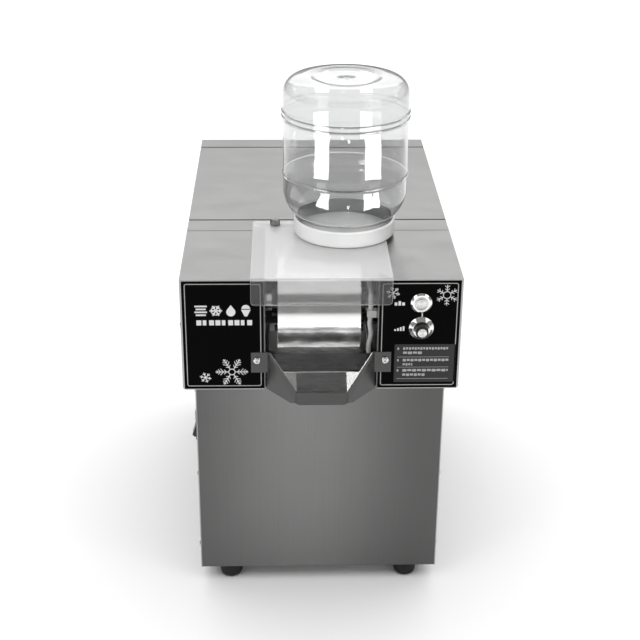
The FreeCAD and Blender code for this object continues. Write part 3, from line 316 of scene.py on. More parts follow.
def brushed_metal(name, tone, rough, along="x", contrast=0.06, fade=None):
    """Sheet metal with a fine brushed grain along an axis, faint cloudiness and handling marks; fade adds
    painted shade towards both sides.
    """
    shader = new_material(name)
    lines = noise(shader, 1.0, GRAIN[along], 3.0)
    clouds = noise(shader, 7.0, EVEN, 2.0)
    smears = noise(shader, 24.0, (1, 1.8, 1), 3.0)
    both = calculate(shader, "MULTIPLY_ADD", clouds, 0.35, remap(shader, lines, (0.25, 0.75), (0.10, 0.55)))
    colour = tint(shader, both, grey(tone * (1 - contrast)), grey(tone * (1 + contrast)))
    if fade:
        colour = paint_side_shade(shader, colour, *fade)
    feed(shader.inputs["Base Color"], colour)
    marks, streaks = spread(shader, smears, -0.02, 0.03), spread(shader, lines, rough - 0.02, rough + 0.03)
    feed(shader.inputs["Roughness"], calculate(shader, "ADD", marks, streaks))
    feed(shader.inputs["Normal"], bump(shader, lines, METAL_GRAIN, 0.5))
    shader.inputs["Metallic"].default_value = 1.0


def polished_metal(name, dark, light, rough, marks=TOOL_MARKS):
    """Bright turned or polished metal with faint tool marks and smudges."""
    shader = new_material(name)
    smears = noise(shader, 60.0, EVEN, 5.0)
    feed(shader.inputs["Base Color"], tint(shader, smears, dark, light))
    feed(shader.inputs["Roughness"], spread(shader, smears, rough * 0.75, rough * 1.4))
    feed(shader.inputs["Normal"], bump(shader, noise(shader, 1.0, marks, 3.0), METAL_GRAIN, 0.35))
    shader.inputs["Metallic"].default_value = 1.0


def polished_steel(name, tone, rough, marks=TOOL_MARKS):
    polished_metal(name, grey(tone * 0.95), grey(tone), rough, marks)


def moulded(name, colour, rough, pebble=0.03 * MM, spots=420.0, gloss=0.5):
    """Moulded plastic or rubber: fine grain in the tool, slight shade and gloss variation."""
    shader = new_material(name)
    fine = noise(shader, spots, EVEN, 4.0)
    wide = noise(shader, 14.0, EVEN, 3.0)
    dark = tuple(c * 0.86 for c in colour)
    feed(shader.inputs["Base Color"], tint(shader, wide, dark, colour))
    feed(shader.inputs["Roughness"], spread(shader, wide, rough - 0.06, rough + 0.08))
    feed(shader.inputs["Normal"], bump(shader, fine, pebble, 0.6))
    shader.inputs["Specular IOR Level"].default_value = gloss


def clear_plastic(name, colour, rough, index, milky=0.0):
    """Clear or frosted plastic with moulding waves and faint haze; returns its shader node."""
    shader = new_material(name)
    waves = noise(shader, 26.0, (1, 1, 0.35), 2.0)
    haze = noise(shader, 90.0, EVEN, 4.0)
    feed(shader.inputs["Roughness"], spread(shader, haze, rough, rough + 0.03))
    feed(shader.inputs["Normal"], bump(shader, waves, 0.4 * MM, 0.35))
    shader.inputs["Base Color"].default_value = (*colour, 1)
    shader.inputs["Transmission Weight"].default_value = 1.0 - milky
    shader.inputs["IOR"].default_value = index
    return shader


def frosted_sheet(name):
    """Bent acrylic whose top still has its milky film, while the front drop is only lightly frosted; the drop's
    darker colour is painted shade.
    """
    shader = clear_plastic(name, (0.95, 0.955, 0.955), 0.09, 1.25)
    parts = node(shader, "ShaderNodeSeparateXYZ", Vector=coordinates(shader))
    bend = (TOP - 1.2 * MM, TOP + 0.6 * MM)                  # the film thins out and the drop's painted shade begins between these heights
    # painted shade: the front drop gets a darker colour than the top
    drop_to_top = {"Transmission Weight": (0.95, 0.53), "Base Color": (0.77, 0.94), "Roughness": (0.14, 0.10)}
    for socket, values in drop_to_top.items():
        feed(shader.inputs[socket], remap(shader, parts.outputs["Z"], bend, values, smooth=True))


def turned_steel(name):
    """Faces turned on a lathe: rings cut round the button's centre and the knob's."""
    shader = new_material(name)
    heights = []
    for piece in ("start_button_cap", "speed_knob"):
        low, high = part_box(piece)
        centre = (low + high) / 2
        mapping = node(shader, "ShaderNodeMapping", Vector=coordinates(shader),
                       Location=(-centre.x, 0, -centre.z), Scale=(1, 0, 1))
        far = node(shader, "ShaderNodeVectorMath")
        far.operation = "LENGTH"
        feed(far.inputs[0], mapping.outputs["Vector"])
        heights.append(far.outputs["Value"])
    near = calculate(shader, "MINIMUM", *heights)
    wave = calculate(shader, "SINE", calculate(shader, "MULTIPLY", near, 2 * math.pi / RING_PITCH))
    smears = noise(shader, 200.0, EVEN, 3.0)
    feed(shader.inputs["Base Color"], tint(shader, smears, grey(0.70), grey(0.82)))
    feed(shader.inputs["Roughness"], spread(shader, smears, 0.16, 0.26))
    feed(shader.inputs["Normal"], bump(shader, wave, 0.03 * MM, 0.9))
    shader.inputs["Metallic"].default_value = 1.0


def make_materials():
    """One finish for each material slot of the record, then trim and print finishes."""
    brushed_metal("stainless", 0.42, 0.32)
    polished_steel("bright_steel", 0.72, 0.14)
    # painted shade: steel in and round the chute is given a near-black tone where it sits in shade
    brushed_metal("dark_steel", 0.085, 0.26, "x", 0.07)
    moulded("black_panel", (0.0022, 0.0022, 0.0024), 0.2, 0.003 * MM, 60.0, 0.02)
    frosted_sheet("frosted_acrylic")
    clear_plastic("clear_pet", (0.80, 0.805, 0.805), 0.0, 1.45)
    moulded("white_plastic", (0.90, 0.90, 0.895), 0.32)
    moulded("black_rubber", (0.012, 0.012, 0.012), 0.62, 0.08 * MM, 700.0, 0.35)
    moulded("black_plastic", (0.014, 0.014, 0.014), 0.36, 0.04 * MM, 600.0)
    moulded("white_nylon", (0.80, 0.79, 0.75), 0.45, 0.03 * MM, 300.0)
    brushed_metal("galvanised", 0.55, 0.42, "y", 0.16)
    moulded("black_paint", (0.015, 0.015, 0.017), 0.30, 0.06 * MM, 180.0, 0.6)
    moulded("motor_grey", (0.16, 0.165, 0.17), 0.42, 0.06 * MM, 220.0)
    brushed_metal("aluminium", 0.70, 0.34, "z", 0.06)
    moulded("hose_clear", (0.72, 0.73, 0.71), 0.28)
    polished_metal("copper", (0.50, 0.20, 0.10), (0.72, 0.34, 0.20), 0.24)
    # painted shade: the lower front and back panels get a darker steel tone that darkens further towards their
    # sides, for their darker reflections
    brushed_metal("panel_steel_painted_shade", 0.215, 0.34, "z", 0.05, fade=(-0.02, 0.15, 0.52))
    brushed_metal("side_steel", 0.36, 0.32, "y", 0.05)
    # painted shade: the pocket walls get a darker steel tone for the shade inside the pocket
    brushed_metal("wall_steel_painted_shade", 0.16, 0.22, "y", 0.08)
    clear_plastic("acrylic_edge", (0.97, 0.97, 0.97), 0.3, 1.30, 0.85)
    polished_steel("drum_steel", 0.93, 0.13, (4, 900, 900))
    polished_steel("chrome_ring", 0.92, 0.06)
    turned_steel("turned_steel")
    moulded("print_white", (0.78, 0.78, 0.78), 0.45, 0.01 * MM)
    moulded("print_grey", (0.42, 0.42, 0.42), 0.40, 0.01 * MM)
    moulded("plate_grey", (0.035, 0.035, 0.036), 0.36, 0.01 * MM, 420.0, 0.2)


# ---- mesh helpers -------------------------------------------------------------------------
def make_object(name, bm, finish, body, smooth=True, sharp=32):
    mesh = bpy.data.meshes.new(name)
    bmesh.ops.recalc_face_normals(bm, faces=bm.faces)
    bm.to_mesh(mesh)
    bm.free()
    if smooth:
        mesh.polygons.foreach_set("use_smooth", [True] * len(mesh.polygons))
        mesh.set_sharp_from_angle(angle=math.radians(sharp))
    mesh.materials.append(PAINT[finish])
    piece = bpy.data.objects.new(name, mesh)
    bpy.context.scene.collection.objects.link(piece)
    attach(piece, body)
    return piece


def axis_frame(at, axis):
    """Matrix whose local Z is an axis of the machine."""
    turn = Vector(axis).to_track_quat("Z", "Y").to_matrix().to_4x4()
    return Matrix.Translation(at) @ turn


def on_circle(radius, k, steps):
    """Point k of steps round a circle."""
    angle = 2 * math.pi * k / steps
    return radius * math.cos(angle), radius * math.sin(angle)


def bridge(bm, a, b, flip=False):
    """Faces between two rings of points, turned the other way with flip; a ring of one point is a tip."""
    if len(a) == len(b) == 1:
        return
    steps = max(len(a), len(b))
    for k in range(steps):
        n = (k + 1) % steps
        if len(a) == 1:
            bm.faces.new((a[0], b[n], b[k]))
        elif len(b) == 1:
            bm.faces.new((a[k], a[n], b[0]))
        else:
            bm.faces.new((a[k], b[k], b[n], a[n]) if flip else (a[k], a[n], b[n], b[k]))


def add_lathe(bm, profile, at, axis=(0, 0, 1), steps=64, closed=True, waves=None):
    """Turns a (radius, height) profile in millimetres about an axis; waves = (count, depth, first, last)
    flutes the profile's points first..last."""
    place = axis_frame(at, axis)
    rings = []
    for index, (radius, height) in enumerate(profile):
        if radius == 0:
            rings.append([bm.verts.new(place @ Vector((0, 0, height * MM)))])
            continue
        ring = []
        for k in range(steps):
            r = radius
            if waves and waves[2] <= index <= waves[3]:
                r -= waves[1] * (0.5 + 0.5 * math.cos(waves[0] * 2 * math.pi * k / steps))
            ring.append(bm.verts.new(place @ Vector((*on_circle(r * MM, k, steps), height * MM))))
        rings.append(ring)
    if closed:
        rings.append(rings[0])
    for a, b in zip(rings, rings[1:]):
        bridge(bm, a, b)


def add_slab(bm, outline, origin, right, up, thickness):
    """A flat outline of (right, up) points, given a thickness along right x up."""
    right, up = Vector(right), Vector(up)
    out = right.cross(up) * thickness
    low = [bm.verts.new(Vector(origin) + right * a + up * b) for a, b in outline]
    high = [bm.verts.new(v.co + out) for v in low]
    bm.faces.new(list(reversed(low)))
    bm.faces.new(high)
    bridge(bm, low, high)


def arc(centre, radius, start, end, steps):
    """Points (a, b) along an arc, angles in degrees."""
    out = []
    for k in range(steps + 1):
        angle = math.radians(start + (end - start) * k / steps)
        out.append((centre[0] + radius * math.cos(angle), centre[1] + radius * math.sin(angle)))
    return out


def rounded_rect(x0, x1, z0, z1, radius, steps=5):
    """Outline of a rectangle with round corners, anticlockwise."""
    points = []
    for cx, cz, start in ((x1 - radius, z1 - radius, 0), (x0 + radius, z1 - radius, 90),
                          (x0 + radius, z0 + radius, 180), (x1 - radius, z0 + radius, 270)):
        points += arc((cx, cz), radius, start, start + 90, steps)
    return points


WELD_DISTANCE = 0.002 * MM
FLAT_ANGLE, BEVEL_ANGLE = math.radians(0.5), math.radians(40)


def edge_finish(name, width, edge_material):
    """Welds a CAD node's facets and breaks its sharp edges with a small bevel, by modifiers only."""
    shown = frame["nodes"][name]
    weld = shown.modifiers.new("weld", "WELD")
    weld.merge_threshold = WELD_DISTANCE
    flat = shown.modifiers.new("flat", "DECIMATE")
    flat.decimate_type = "DISSOLVE"
    flat.angle_limit = FLAT_ANGLE
    if width:
        bevel = shown.modifiers.new("bevel", "BEVEL")
        bevel.width = width
        bevel.segments = 2
        bevel.limit_method = "ANGLE"
        bevel.angle_limit = BEVEL_ANGLE
        bevel.material = edge_material
    shade = shown.modifiers.new("shade", "WEIGHTED_NORMAL")
    shade.keep_sharp = True


# ---- prints on the fascias ----------------------------------------------------------------
PRINT_THICKNESS = 0.12 * MM
PRINT_STEP = 0.006 * MM                   # overlapping strokes differ in thickness, so no faces coincide
BRANCH_LEAN = 50
BORDER_INSET, BORDER_LINE = 3.0, 0.9


class FasciaPrint:
    """Flat shapes in millimetres right of and below a fascia's top left corner."""

    def __init__(self, box, lift=0.0):
        self.origin = (box[0].x, FRONT - lift, box[1].z)
        self.bm = bmesh.new()
        self.count = 0

    def slab(self, outline, thickness):
        points = [(a * MM, -b * MM) for a, b in outline]
        add_slab(self.bm, points, self.origin, (1, 0, 0), (0, 0, 1), thickness)

    def shape(self, outline):
        self.slab(outline, PRINT_THICKNESS + (self.count % 5) * PRINT_STEP)
        self.count += 1

    def bar(self, x0, x1, z0, z1, radius=0.3):
        self.shape(rounded_rect(x0, x1, z0, z1, radius, 3))

    def stroke(self, a, b, width):
        """A straight line with square ends."""
        dx, dz = b[0] - a[0], b[1] - a[1]
        length = math.hypot(dx, dz)
        nx, nz = -dz / length * width / 2, dx / length * width / 2
        self.shape([(a[0] + nx, a[1] + nz), (b[0] + nx, b[1] + nz),
                    (b[0] - nx, b[1] - nz), (a[0] - nx, a[1] - nz)])

    def ring(self, outline, inner):
        """The band between two outlines of the same number of points."""
        for k in range(len(outline)):
            n = (k + 1) % len(outline)
            self.slab([outline[k], outline[n], inner[n], inner[k]], PRINT_THICKNESS)

    def flake(self, x, z, radius, width, branches, turn=0.0, hub=0.0):
        """A six-armed crystal: arms from a hub ring, with pairs of branches at the given shares."""
        def out(start, angle, length):
            return start[0] + math.cos(angle) * length, start[1] + math.sin(angle) * length

        for arm in range(6):
            angle = math.radians(turn + 60 * arm)
            self.stroke(out((x, z), angle, radius * hub), out((x, z), angle, radius), width)
            for share, reach in branches:
                foot = out((x, z), angle, radius * share)
                for side in (-BRANCH_LEAN, BRANCH_LEAN):
                    self.stroke(foot, out(foot, angle + math.radians(side), radius * reach), width * 0.8)
        if hub:
            outer = arc((x, z), radius * hub + width / 2, 0, 330, 11)
            inner = arc((x, z), radius * hub - width / 2, 0, 330, 11)
            self.ring(outer, inner)

    def finish(self, name, finish):
        make_object(name, self.bm, finish, "housing", smooth=False)


def make_border_print(box, name):
    """The thin printed frame line near a fascia's edge."""
    sheet = FasciaPrint(box)
    width = (box[1].x - box[0].x) / MM
    height = (box[1].z - box[0].z) / MM
    outlines = []
    for inset, corner in ((BORDER_INSET, 2.6), (BORDER_INSET + BORDER_LINE, 1.8)):
        outlines.append(rounded_rect(inset, width - inset, inset, height - inset, corner))
    sheet.ring(*outlines)
    sheet.finish(name, "print_grey")


def make_left_prints():
    """Four plain icons over a row of bars, and two flakes."""
    make_border_print(FASCIA_L, "left_border_print")
    title = FasciaPrint(FASCIA_L)
    left, top, size, pitch = 13.4, 27.6, 13.2, 15.9
    half = size / 2
    slats, crystal, drop, cone = (left + pitch * k for k in range(4))
    for row in range(4):
        inset, z = 1.2 * (row % 2), top + 3.4 * row
        title.bar(slats + inset, slats + size - inset, z + 0.5, z + 2.3)
    title.flake(crystal + half, top + half, 6.6, 1.5, [(0.5, 0.42)])
    title.shape([(drop + half, top)] + arc((drop + half, top + half + 1.6), 4.9, -35, 215, 14))
    title.shape([(cone + 1.5, top + 5.4), (cone + size - 1.5, top + 5.4),
                 (cone + half + 1.4, top + size), (cone + half - 1.4, top + size)])
    title.shape(arc((cone + half, top + 4.4), 4.6, 180, 360, 12))
    for k in range(9):
        x = left + 1.6 + 6.75 * k
        title.bar(x, x + 5.2 - 1.4 * (k % 3 == 1), top + 17.6, top + 23.6)
        title.count += 1                  # these bars take every other step of thickness
    title.finish("title_print", "print_white")
    flakes = FasciaPrint(FASCIA_L)
    flakes.flake(51.6, 107.1, 17.6, 0.9, [(0.34, 0.20), (0.52, 0.28), (0.70, 0.22), (0.86, 0.12)], 0.0, 0.2)
    flakes.flake(23.0, 113.9, 6.3, 0.9, [(0.55, 0.35)], 12.0)
    flakes.finish("left_flake_print", "print_white")


def make_right_prints():
    """Marks beside the controls, and the plate with its rows of bars."""
    make_border_print(FASCIA_R, "right_border_print")
    marks = FasciaPrint(FASCIA_R)
    marks.flake(14.2, 14.1, 7.2, 0.7, [(0.5, 0.35), (0.78, 0.2)], 15.0)
    marks.flake(71.5, 17.0, 12.0, 0.8, [(0.45, 0.26), (0.72, 0.28)], 30.0, 0.34)
    for k, height in enumerate((3.6, 5.0, 3.6)):
        marks.bar(16.2 + 4.0 * k, 19.0 + 4.0 * k, 28.9 - height, 28.9)
    for k, height in enumerate((2.0, 3.2, 4.4, 5.4)):
        marks.bar(16.6 + 3.0 * k, 18.6 + 3.0 * k, 58.8 - height, 58.8)
    marks.bar(45.4, 46.6, 37.4, 42.0, 0.2)
    marks.finish("control_print", "print_white")
    plate = FasciaPrint(FASCIA_R)
    plate.bar(17.8, 83.8, 74.9, 120.6, 0.8)
    plate.finish("instruction_plate", "plate_grey")
    make_plate_rows()


def make_plate_rows():
    """Six rows of bars, every other one led by a dot, and three thin rules."""
    lines = FasciaPrint(FASCIA_R, 0.08 * MM)
    start, full, gap, tall = 27.0, 50.0, 0.9, 3.0
    rows = ((78.4, 0.96), (83.6, 0.42), (92.4, 0.98), (97.6, 0.20), (104.8, 0.98), (110.2, 0.48))
    for row, (z, share) in enumerate(rows):
        if row % 2 == 0:
            lines.bar(20.8, 22.6, z + 0.2, z + tall)
        x, end, count = start, start + full * share, 0
        while x < end:
            wide = 2.2 + 1.1 * ((row * 5 + count * 3) % 3)
            lines.bar(x, min(x + wide, end + 0.5), z, z + tall - 0.5 * ((count + row) % 2))
            x += wide + gap
            count += 1
    for z in (89.9, 102.2, 116.2):
        lines.bar(20.8, 76.8, z, z + 0.4, 0.1)
    lines.finish("instruction_print", "print_grey")


# ---- pieces that replace plain CAD shapes --------------------------------------------------
JAR_WALL = 0.9


def jar_profile(wall):
    """Jar standing on its mouth, (radius, height over the head's top) in millimetres."""
    r = 69.4 - wall
    neck = 52.8 - wall
    profile = [(neck, 5.8), (neck, 21.4), (neck + 0.3, 22.6), (neck + 0.3, 24.0), (neck + 0.5, 24.9)]
    profile += arc((33.4, 55.4), 36.0 - wall, -55.0, 0.0, 16)
    profile += [(r, 69.4), (r + 0.3, 70.6)]
    profile += arc((r - 0.6, 74.0), 1.9, -62, 62, 8)
    profile += [(r + 0.3, 77.4), (r, 78.6), (r - 0.25, 92.0), (r - 0.4, 107.0), (r - 0.25, 122.0)]
    profile += [(r, 135.0), (r + 0.4, 136.4)]
    profile += arc((r - 0.3, 139.0), 2.0, -60, 60, 6)
    profile += [(r + 0.55, 142.0)]
    profile += arc((r - 0.3, 145.0), 2.0, -60, 60, 6)
    profile += [(r + 0.4, 147.6), (r, 149.0)]
    profile += arc((52.4, 164.5), 17.0 - wall, 0.0, 74.0, 16)
    base = ((54.0, 181.5), (49.0, 182.4), (44.6, 182.8), (41.0, 182.85), (38.4, 182.5), (36.4, 181.7),
            (35.0, 180.6), (33.2, 179.8), (28.0, 179.3), (14.0, 179.5), (4.0, 179.9), (2.4, 180.8),
            (0.0, 181.0))
    return profile + [(radius, height - wall) for radius, height in base]


def make_jar():
    bm = bmesh.new()
    outline = jar_profile(0.0) + list(reversed(jar_profile(JAR_WALL)))
    add_lathe(bm, outline, (JAR_AXIS.x, JAR_AXIS.y, TOP), steps=144)
    jar = make_object("jar_clear", bm, "clear_pet", "jar", sharp=60)
    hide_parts("bottle")
    return jar


def make_jar_cap():
    """Fluted cap with its feed spout, sizes in millimetres over the cover."""
    low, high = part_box("bottle_cap")
    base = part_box("acrylic_cover")[1].z
    radius, height = (high.x - low.x) / 2 / MM, (high.z - base) / MM
    well, floor = radius - 2.6, 2.5
    spout_end = (low.z - base) / MM
    profile = [(4.0, 0.4), (radius - 3.4, 0.0), (radius - 1.6, 0.5), (radius - 0.5, 1.7), (radius, 3.2),
               (radius, height - 3.6), (radius - 0.2, height - 3.0), (radius, height - 2.6),
               (radius - 0.1, height - 0.7), (radius - 0.8, height), (well + 0.5, height), (well, height - 0.6),
               (well, floor), (4.0, floor)]
    spout = [(7.0, spout_end), (8.4, spout_end), (9.0, spout_end + 1.2), (9.0, -0.05), (7.0, -0.05)]
    at = (JAR_AXIS.x, JAR_AXIS.y, base)
    bm = bmesh.new()
    add_lathe(bm, profile, at, steps=288, waves=(96, 0.55, 4, 5))
    add_lathe(bm, spout, at, steps=48)
    cap = make_object("jar_cap_ribbed", bm, "white_plastic", "jar_cap", sharp=50)
    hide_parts("bottle_cap")
    return cap


def make_valve_spring():
    low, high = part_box("valve_spring")
    wire, turns, per_turn, around = 0.55 * MM, 6, 24, 8
    mean = (high.x - low.x) / 2 - wire
    total = turns * per_turn
    bm = bmesh.new()
    rings = []
    for k in range(total + 1):
        rise = low.z + wire + (high.z - low.z - 2 * wire) * k / total
        ring = []
        for j in range(around):
            out, up = on_circle(wire, j, around)
            x, y = on_circle(mean + out, k, per_turn)
            ring.append(bm.verts.new((JAR_AXIS.x + x, JAR_AXIS.y + y, rise + up)))
        rings.append(ring)
    for a, b in zip(rings, rings[1:]):
        bridge(bm, a, b, flip=True)
    bm.faces.new(rings[0])
    bm.faces.new(list(reversed(rings[-1])))
    spring = make_object("valve_spring_coil", bm, "bright_steel", "jar_cap")
    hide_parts("valve_spring")
    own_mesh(spring)


def make_thumb_screw():
    low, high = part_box("cover_thumb_screw")
    centre = (low + high) / 2
    radius = (high.x - low.x) / 2 / MM
    seat = (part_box("acrylic_cover")[1].z - low.z) / MM
    top = (high.z - low.z) / MM
    profile = [(0, 0), (1.9, 0), (2.5, 0.8), (2.5, seat), (4.0, seat + 0.1), (4.0, seat + 0.5),
               (radius - 0.6, seat + 0.5), (radius, seat + 1.1), (radius, top - 2.2), (radius - 0.5, top - 1.6),
               (radius - 0.7, top - 0.6), (radius - 1.4, top), (1.6, top - 0.15), (0, top - 0.3)]
    bm = bmesh.new()
    add_lathe(bm, profile, (centre.x, centre.y, low.z), steps=120, closed=False, waves=(30, 0.45, 7, 8))
    screw = make_object("thumb_screw_knurled", bm, "side_steel", "thumb_screw", sharp=40)
    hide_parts("cover_thumb_screw")


def loose_parts(mesh):
    """The separate solids of a mesh, each as a list of its points."""
    bm = bmesh.new()
    bm.from_mesh(mesh)
    bmesh.ops.remove_doubles(bm, verts=bm.verts, dist=WELD_DISTANCE)
    seen = set()
    parts = []
    for first in bm.verts:
        if first in seen:
            continue
        stack, points = [first], []
        seen.add(first)
        while stack:
            vert = stack.pop()
            points.append(vert.co.copy())
            for edge in vert.link_edges:
                other = edge.other_vert(vert)
                if other not in seen:
                    seen.add(other)
                    stack.append(other)
        parts.append(points)
    bm.free()
    return parts


SCREW_LENGTH = 8.9 * MM                   # between the two lengths, 8.4 and 9.4 mm; the heads are 8 mm wide


def make_screw_heads():
    """Every pan-head screw of the node, found from the CAD's separate solids."""
    bm = bmesh.new()
    for points in loose_parts(frame["nodes"]["pan_head_screws"].data):
        low = Vector([min(p[k] for p in points) for k in range(3)])
        high = Vector([max(p[k] for p in points) for k in range(3)])
        size = high - low
        centre = (low + high) / 2
        along = min(range(3), key=lambda k: abs(size[k] - SCREW_LENGTH))
        across = [k for k in range(3) if k != along]
        widest = max(points, key=lambda p: sum((p[k] - centre[k]) ** 2 for k in across))
        out = 1 if widest[along] > centre[along] else -1
        axis = Vector([out if k == along else 0 for k in range(3)])
        tip = centre.copy()
        tip[along] = high[along] if out > 0 else low[along]
        add_pan_head(bm, tip, axis, size[along])
    screws = make_object("pan_head_screws_detailed", bm, "bright_steel", "housing", sharp=35)
    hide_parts("pan_head_screws")


def add_pan_head(bm, tip, axis, length):
    """One screw: domed head with a pressed cross, then its plain shank."""
    rim, head, shank, steps = 4.0 * MM, 2.4 * MM, 2.0 * MM, 32
    point, point_length = 1.5 * MM, 0.6 * MM
    arm_half, arm_reach, arm_depth, arm_fade, middle_depth = 0.55 * MM, 2.4 * MM, 1.3 * MM, 2.9 * MM, 1.35 * MM
    place = axis_frame(tip, axis)
    rings = []
    for share in (0.12, 0.25, 0.38, 0.52, 0.66, 0.80, 0.92, 1.0):
        r = rim * share
        dome = head * 0.55 * share ** 3.2
        ring = []
        for k in range(steps):
            x, y = on_circle(r, k, steps)
            in_cross = min(abs(x), abs(y)) < arm_half and r < arm_reach
            recess = arm_depth * (1 - r / arm_fade) if in_cross else 0.0
            ring.append(bm.verts.new(place @ Vector((x, y, -dome - recess))))
        rings.append(ring)
    middle = bm.verts.new(place @ Vector((0, 0, -middle_depth)))
    for k in range(steps):
        bm.faces.new((middle, rings[0][k], rings[0][(k + 1) % steps]))
    for r, depth in ((rim, head), (shank, head), (shank, length - point_length), (point, length)):
        rings.append([bm.verts.new(place @ Vector((*on_circle(r, k, steps), -depth))) for k in range(steps)])
    for a, b in zip(rings, rings[1:]):
        bridge(bm, a, b, flip=True)
    bm.faces.new(rings[-1])


def make_feet():
    low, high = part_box("rubber_feet")
    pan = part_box("base_pan")[0].z
    radius, rim, stud_end = 13.4, pan / MM, high.z / MM
    profile = [(0, 1.6), (4.0, 1.6), (4.4, 0.0), (7.8, 0.0), (10.2, 0.6), (12.0, 2.2), (12.9, 4.6),
               (radius, 8.0), (radius, 16.2), (radius - 0.7, 16.8), (radius - 0.7, 17.6), (radius, 18.2),
               (radius, rim - 0.4), (radius - 0.4, rim), (3.0, rim), (3.0, stud_end - 0.5), (2.5, stud_end),
               (0, stud_end)]
    nut = arc((0, 0), 5.9 * MM, 0, 300, 5)
    bm = bmesh.new()
    for x in (low.x + radius * MM, high.x - radius * MM):
        for y in (low.y + radius * MM, high.y - radius * MM):
            add_lathe(bm, profile, (x, y, 0), steps=56, closed=False)
            add_slab(bm, nut, (x, y, pan + 1.2 * MM), (1, 0, 0), (0, 1, 0), 4 * MM)
    feet = make_object("feet_moulded", bm, "black_rubber", "housing")
    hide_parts("rubber_feet")


def make_push_button():
    """Bezel and domed cap, heights in millimetres out of the front face."""
    low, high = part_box("start_button_cap")
    centre = (low + high) / 2
    at = (centre.x, FRONT, centre.z)
    bezel = [(7.05, -13.8), (7.05, 1.9), (7.4, 2.3), (8.2, 2.5), (9.4, 2.5), (9.9, 2.1), (10.6, 1.5),
             (11.3, 0.9), (11.5, 0.4), (11.5, 0.0), (9.4, 0.0), (9.4, -2.9), (12.4, -3.1), (12.4, -6.4),
             (9.4, -6.6), (9.2, -25.6), (7.4, -26), (7.4, -31.6), (0.5, -31.8), (0.5, -14)]
    bm = bmesh.new()
    add_lathe(bm, bezel, at, OUTWARD, 96)
    body = make_object("button_bezel", bm, "chrome_ring", "housing", sharp=25)
    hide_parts("start_button_body")
    back = (FRONT - high.y) / MM
    cap = [(0, 3.55), (1.6, 3.5), (3.2, 3.3), (4.8, 2.95), (5.5, 2.6), (5.7, 2.35), (5.95, 2.35), (6.3, 2.6),
           (6.7, 2.6), (6.98, 2.2), (6.98, back + 0.6), (6.4, back), (0, back)]
    bm = bmesh.new()
    add_lathe(bm, cap, at, OUTWARD, 96, closed=False)
    button = make_object("button_cap_domed", bm, "turned_steel", "start_button", sharp=25)
    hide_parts("start_button_cap")


def make_speed_knob():
    """Ring, fluted grip and turned disc, heights in millimetres out of the front face."""
    low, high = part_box("speed_knob")
    centre = (low + high) / 2
    at = (centre.x, FRONT, centre.z)
    reach = (FRONT - low.y) / MM
    ring = [(3.06, -18.8), (3.06, 4.3), (8.4, 4.3), (9.0, 4.5), (9.6, 4.3), (12.4, 1.5), (13.2, 0.9),
            (13.5, 0.3), (13.5, 0.0), (5.0, 0.0), (5.0, -3.0), (11.6, -3.1), (12.0, -3.6), (12.0, -18.4),
            (11.4, -19.0)]
    bm = bmesh.new()
    add_lathe(bm, ring, at, OUTWARD, 96)
    base = make_object("knob_ring", bm, "chrome_ring", "housing", sharp=25)
    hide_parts("speed_control_body")
    grip = [(0, -10.9), (3.0, -10.9), (3.0, 5.0), (6.6, 5.0), (7.0, 5.5), (6.9, reach - 1.4),
            (6.5, reach - 0.5), (5.9, reach), (5.2, reach), (5.1, reach - 0.5), (0, reach - 0.5)]
    bm = bmesh.new()
    add_lathe(bm, grip, at, OUTWARD, 144, closed=False, waves=(24, 0.35, 4, 5))
    knob = make_object("knob_grip", bm, "black_plastic", "speed_knob", sharp=35)
    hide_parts("speed_knob")
    disc = [(0, reach - 0.45), (5.0, reach - 0.45), (5.0, reach - 0.1), (4.8, reach), (0.5, reach - 0.1),
            (0, reach - 0.15)]
    bm = bmesh.new()
    add_lathe(bm, disc, at, OUTWARD, 96, closed=False)
    make_object("knob_disc", bm, "turned_steel", "speed_knob", sharp=25)


def make_drum():
    low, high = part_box("drum_shell")
    centre = (low + high) / 2
    radius, half = (high.z - low.z) / 2 / MM, (high.x - low.x) / 2 / MM
    inside, chamfer = radius - 3.0, 0.8
    profile = [(inside, -half), (radius - chamfer, -half), (radius, -half + chamfer), (radius, half - chamfer),
               (radius - chamfer, half), (inside, half)]
    bm = bmesh.new()
    add_lathe(bm, profile, centre, (1, 0, 0), 192)
    drum = make_object("drum_polished", bm, "drum_steel", "drum", sharp=25)
    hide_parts("drum_shell")
    return drum


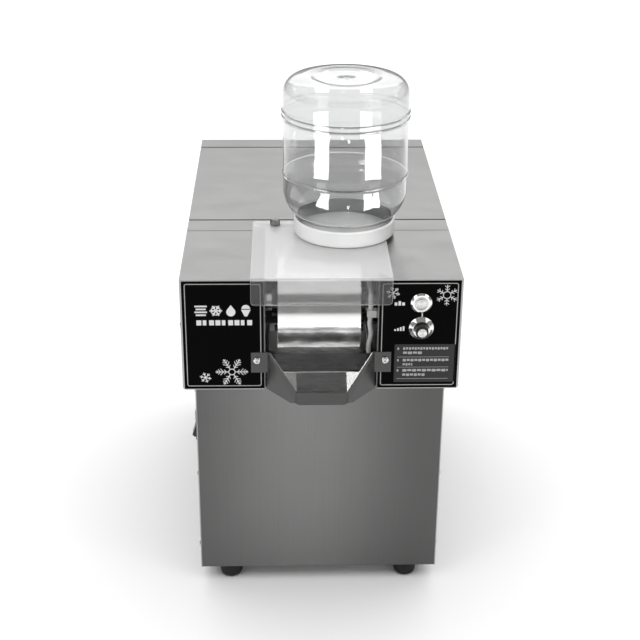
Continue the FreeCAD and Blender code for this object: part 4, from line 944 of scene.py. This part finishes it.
# ---- CAD nodes that stay -------------------------------------------------------------------
FINISH = {                                # where it differs from the node's material slot
    # the scraper blade and its screws take the dark steel's painted shade
    "scraper_blade": "dark_steel", "blade_screws": "dark_steel", "lower_front_panel": "panel_steel_painted_shade",
    # the lower front and back panels take the darker steel with painted side shade
    "lower_left_panel": "side_steel", "lower_right_panel": "side_steel", "lower_back_panel": "panel_steel_painted_shade",
    # the pocket walls take the darker steel of painted shade
    "pocket_left_wall": "wall_steel_painted_shade", "pocket_right_wall": "wall_steel_painted_shade", "pocket_rear_wall": "wall_steel_painted_shade",
    "deck_plate": "side_steel",
}
SOFT_EDGES = {                            # bevel widths in millimetres
    "head_left_shell": 0.45, "head_right_shell": 0.45, "head_back_panel": 0.45, "top_crossbar": 0.4,
    "rear_lid": 0.4, "lower_front_panel": 0.3, "lower_left_panel": 0.35, "lower_right_panel": 0.35,
    "lower_back_panel": 0.3, "left_fascia": 0.3, "right_fascia": 0.3, "chute": 0.3, "blade_holder": 0.3,
    "acrylic_cover": 0.7, "milk_tray": 0.4, "drip_tray": 0.3, "rocker_housing": 0.35, "rocker_paddle": 0.4,
    "power_inlet": 0.4, "gear_motor": 0.6, "bearing_blocks": 0.6, "deck_plate": 0.2, "base_pan": 0.3,
    "pocket_left_wall": 0.15, "pocket_right_wall": 0.15,
}
OWN_MATERIAL, SECOND_MATERIAL = -1, 1     # a bevel's material index


def dress_cad_nodes():
    for name, shown in frame["nodes"].items():
        shown.data.materials.clear()
        shown.data.materials.append(PAINT[FINISH.get(name, NODE_SLOT[name])])
        edge_material = OWN_MATERIAL
        if name == "acrylic_cover":
            shown.data.materials.append(PAINT["acrylic_edge"])
            edge_material = SECOND_MATERIAL
        edge_finish(name, SOFT_EDGES.get(name, 0.0) * MM, edge_material)


def main():
    scene = bpy.context.scene
    scene.view_settings.view_transform = "Standard"
    scene.view_settings.look = "None"
    make_materials()
    make_camera()
    make_floor()
    make_lights()
    dress_cad_nodes()
    make_left_prints()
    make_right_prints()
    make_jar_glints(make_jar(), make_jar_cap())
    make_chute_glow()
    make_valve_spring()
    make_thumb_screw()
    make_screw_heads()
    make_feet()
    make_push_button()
    make_speed_knob()
    make_drum_glow(make_drum())


main()
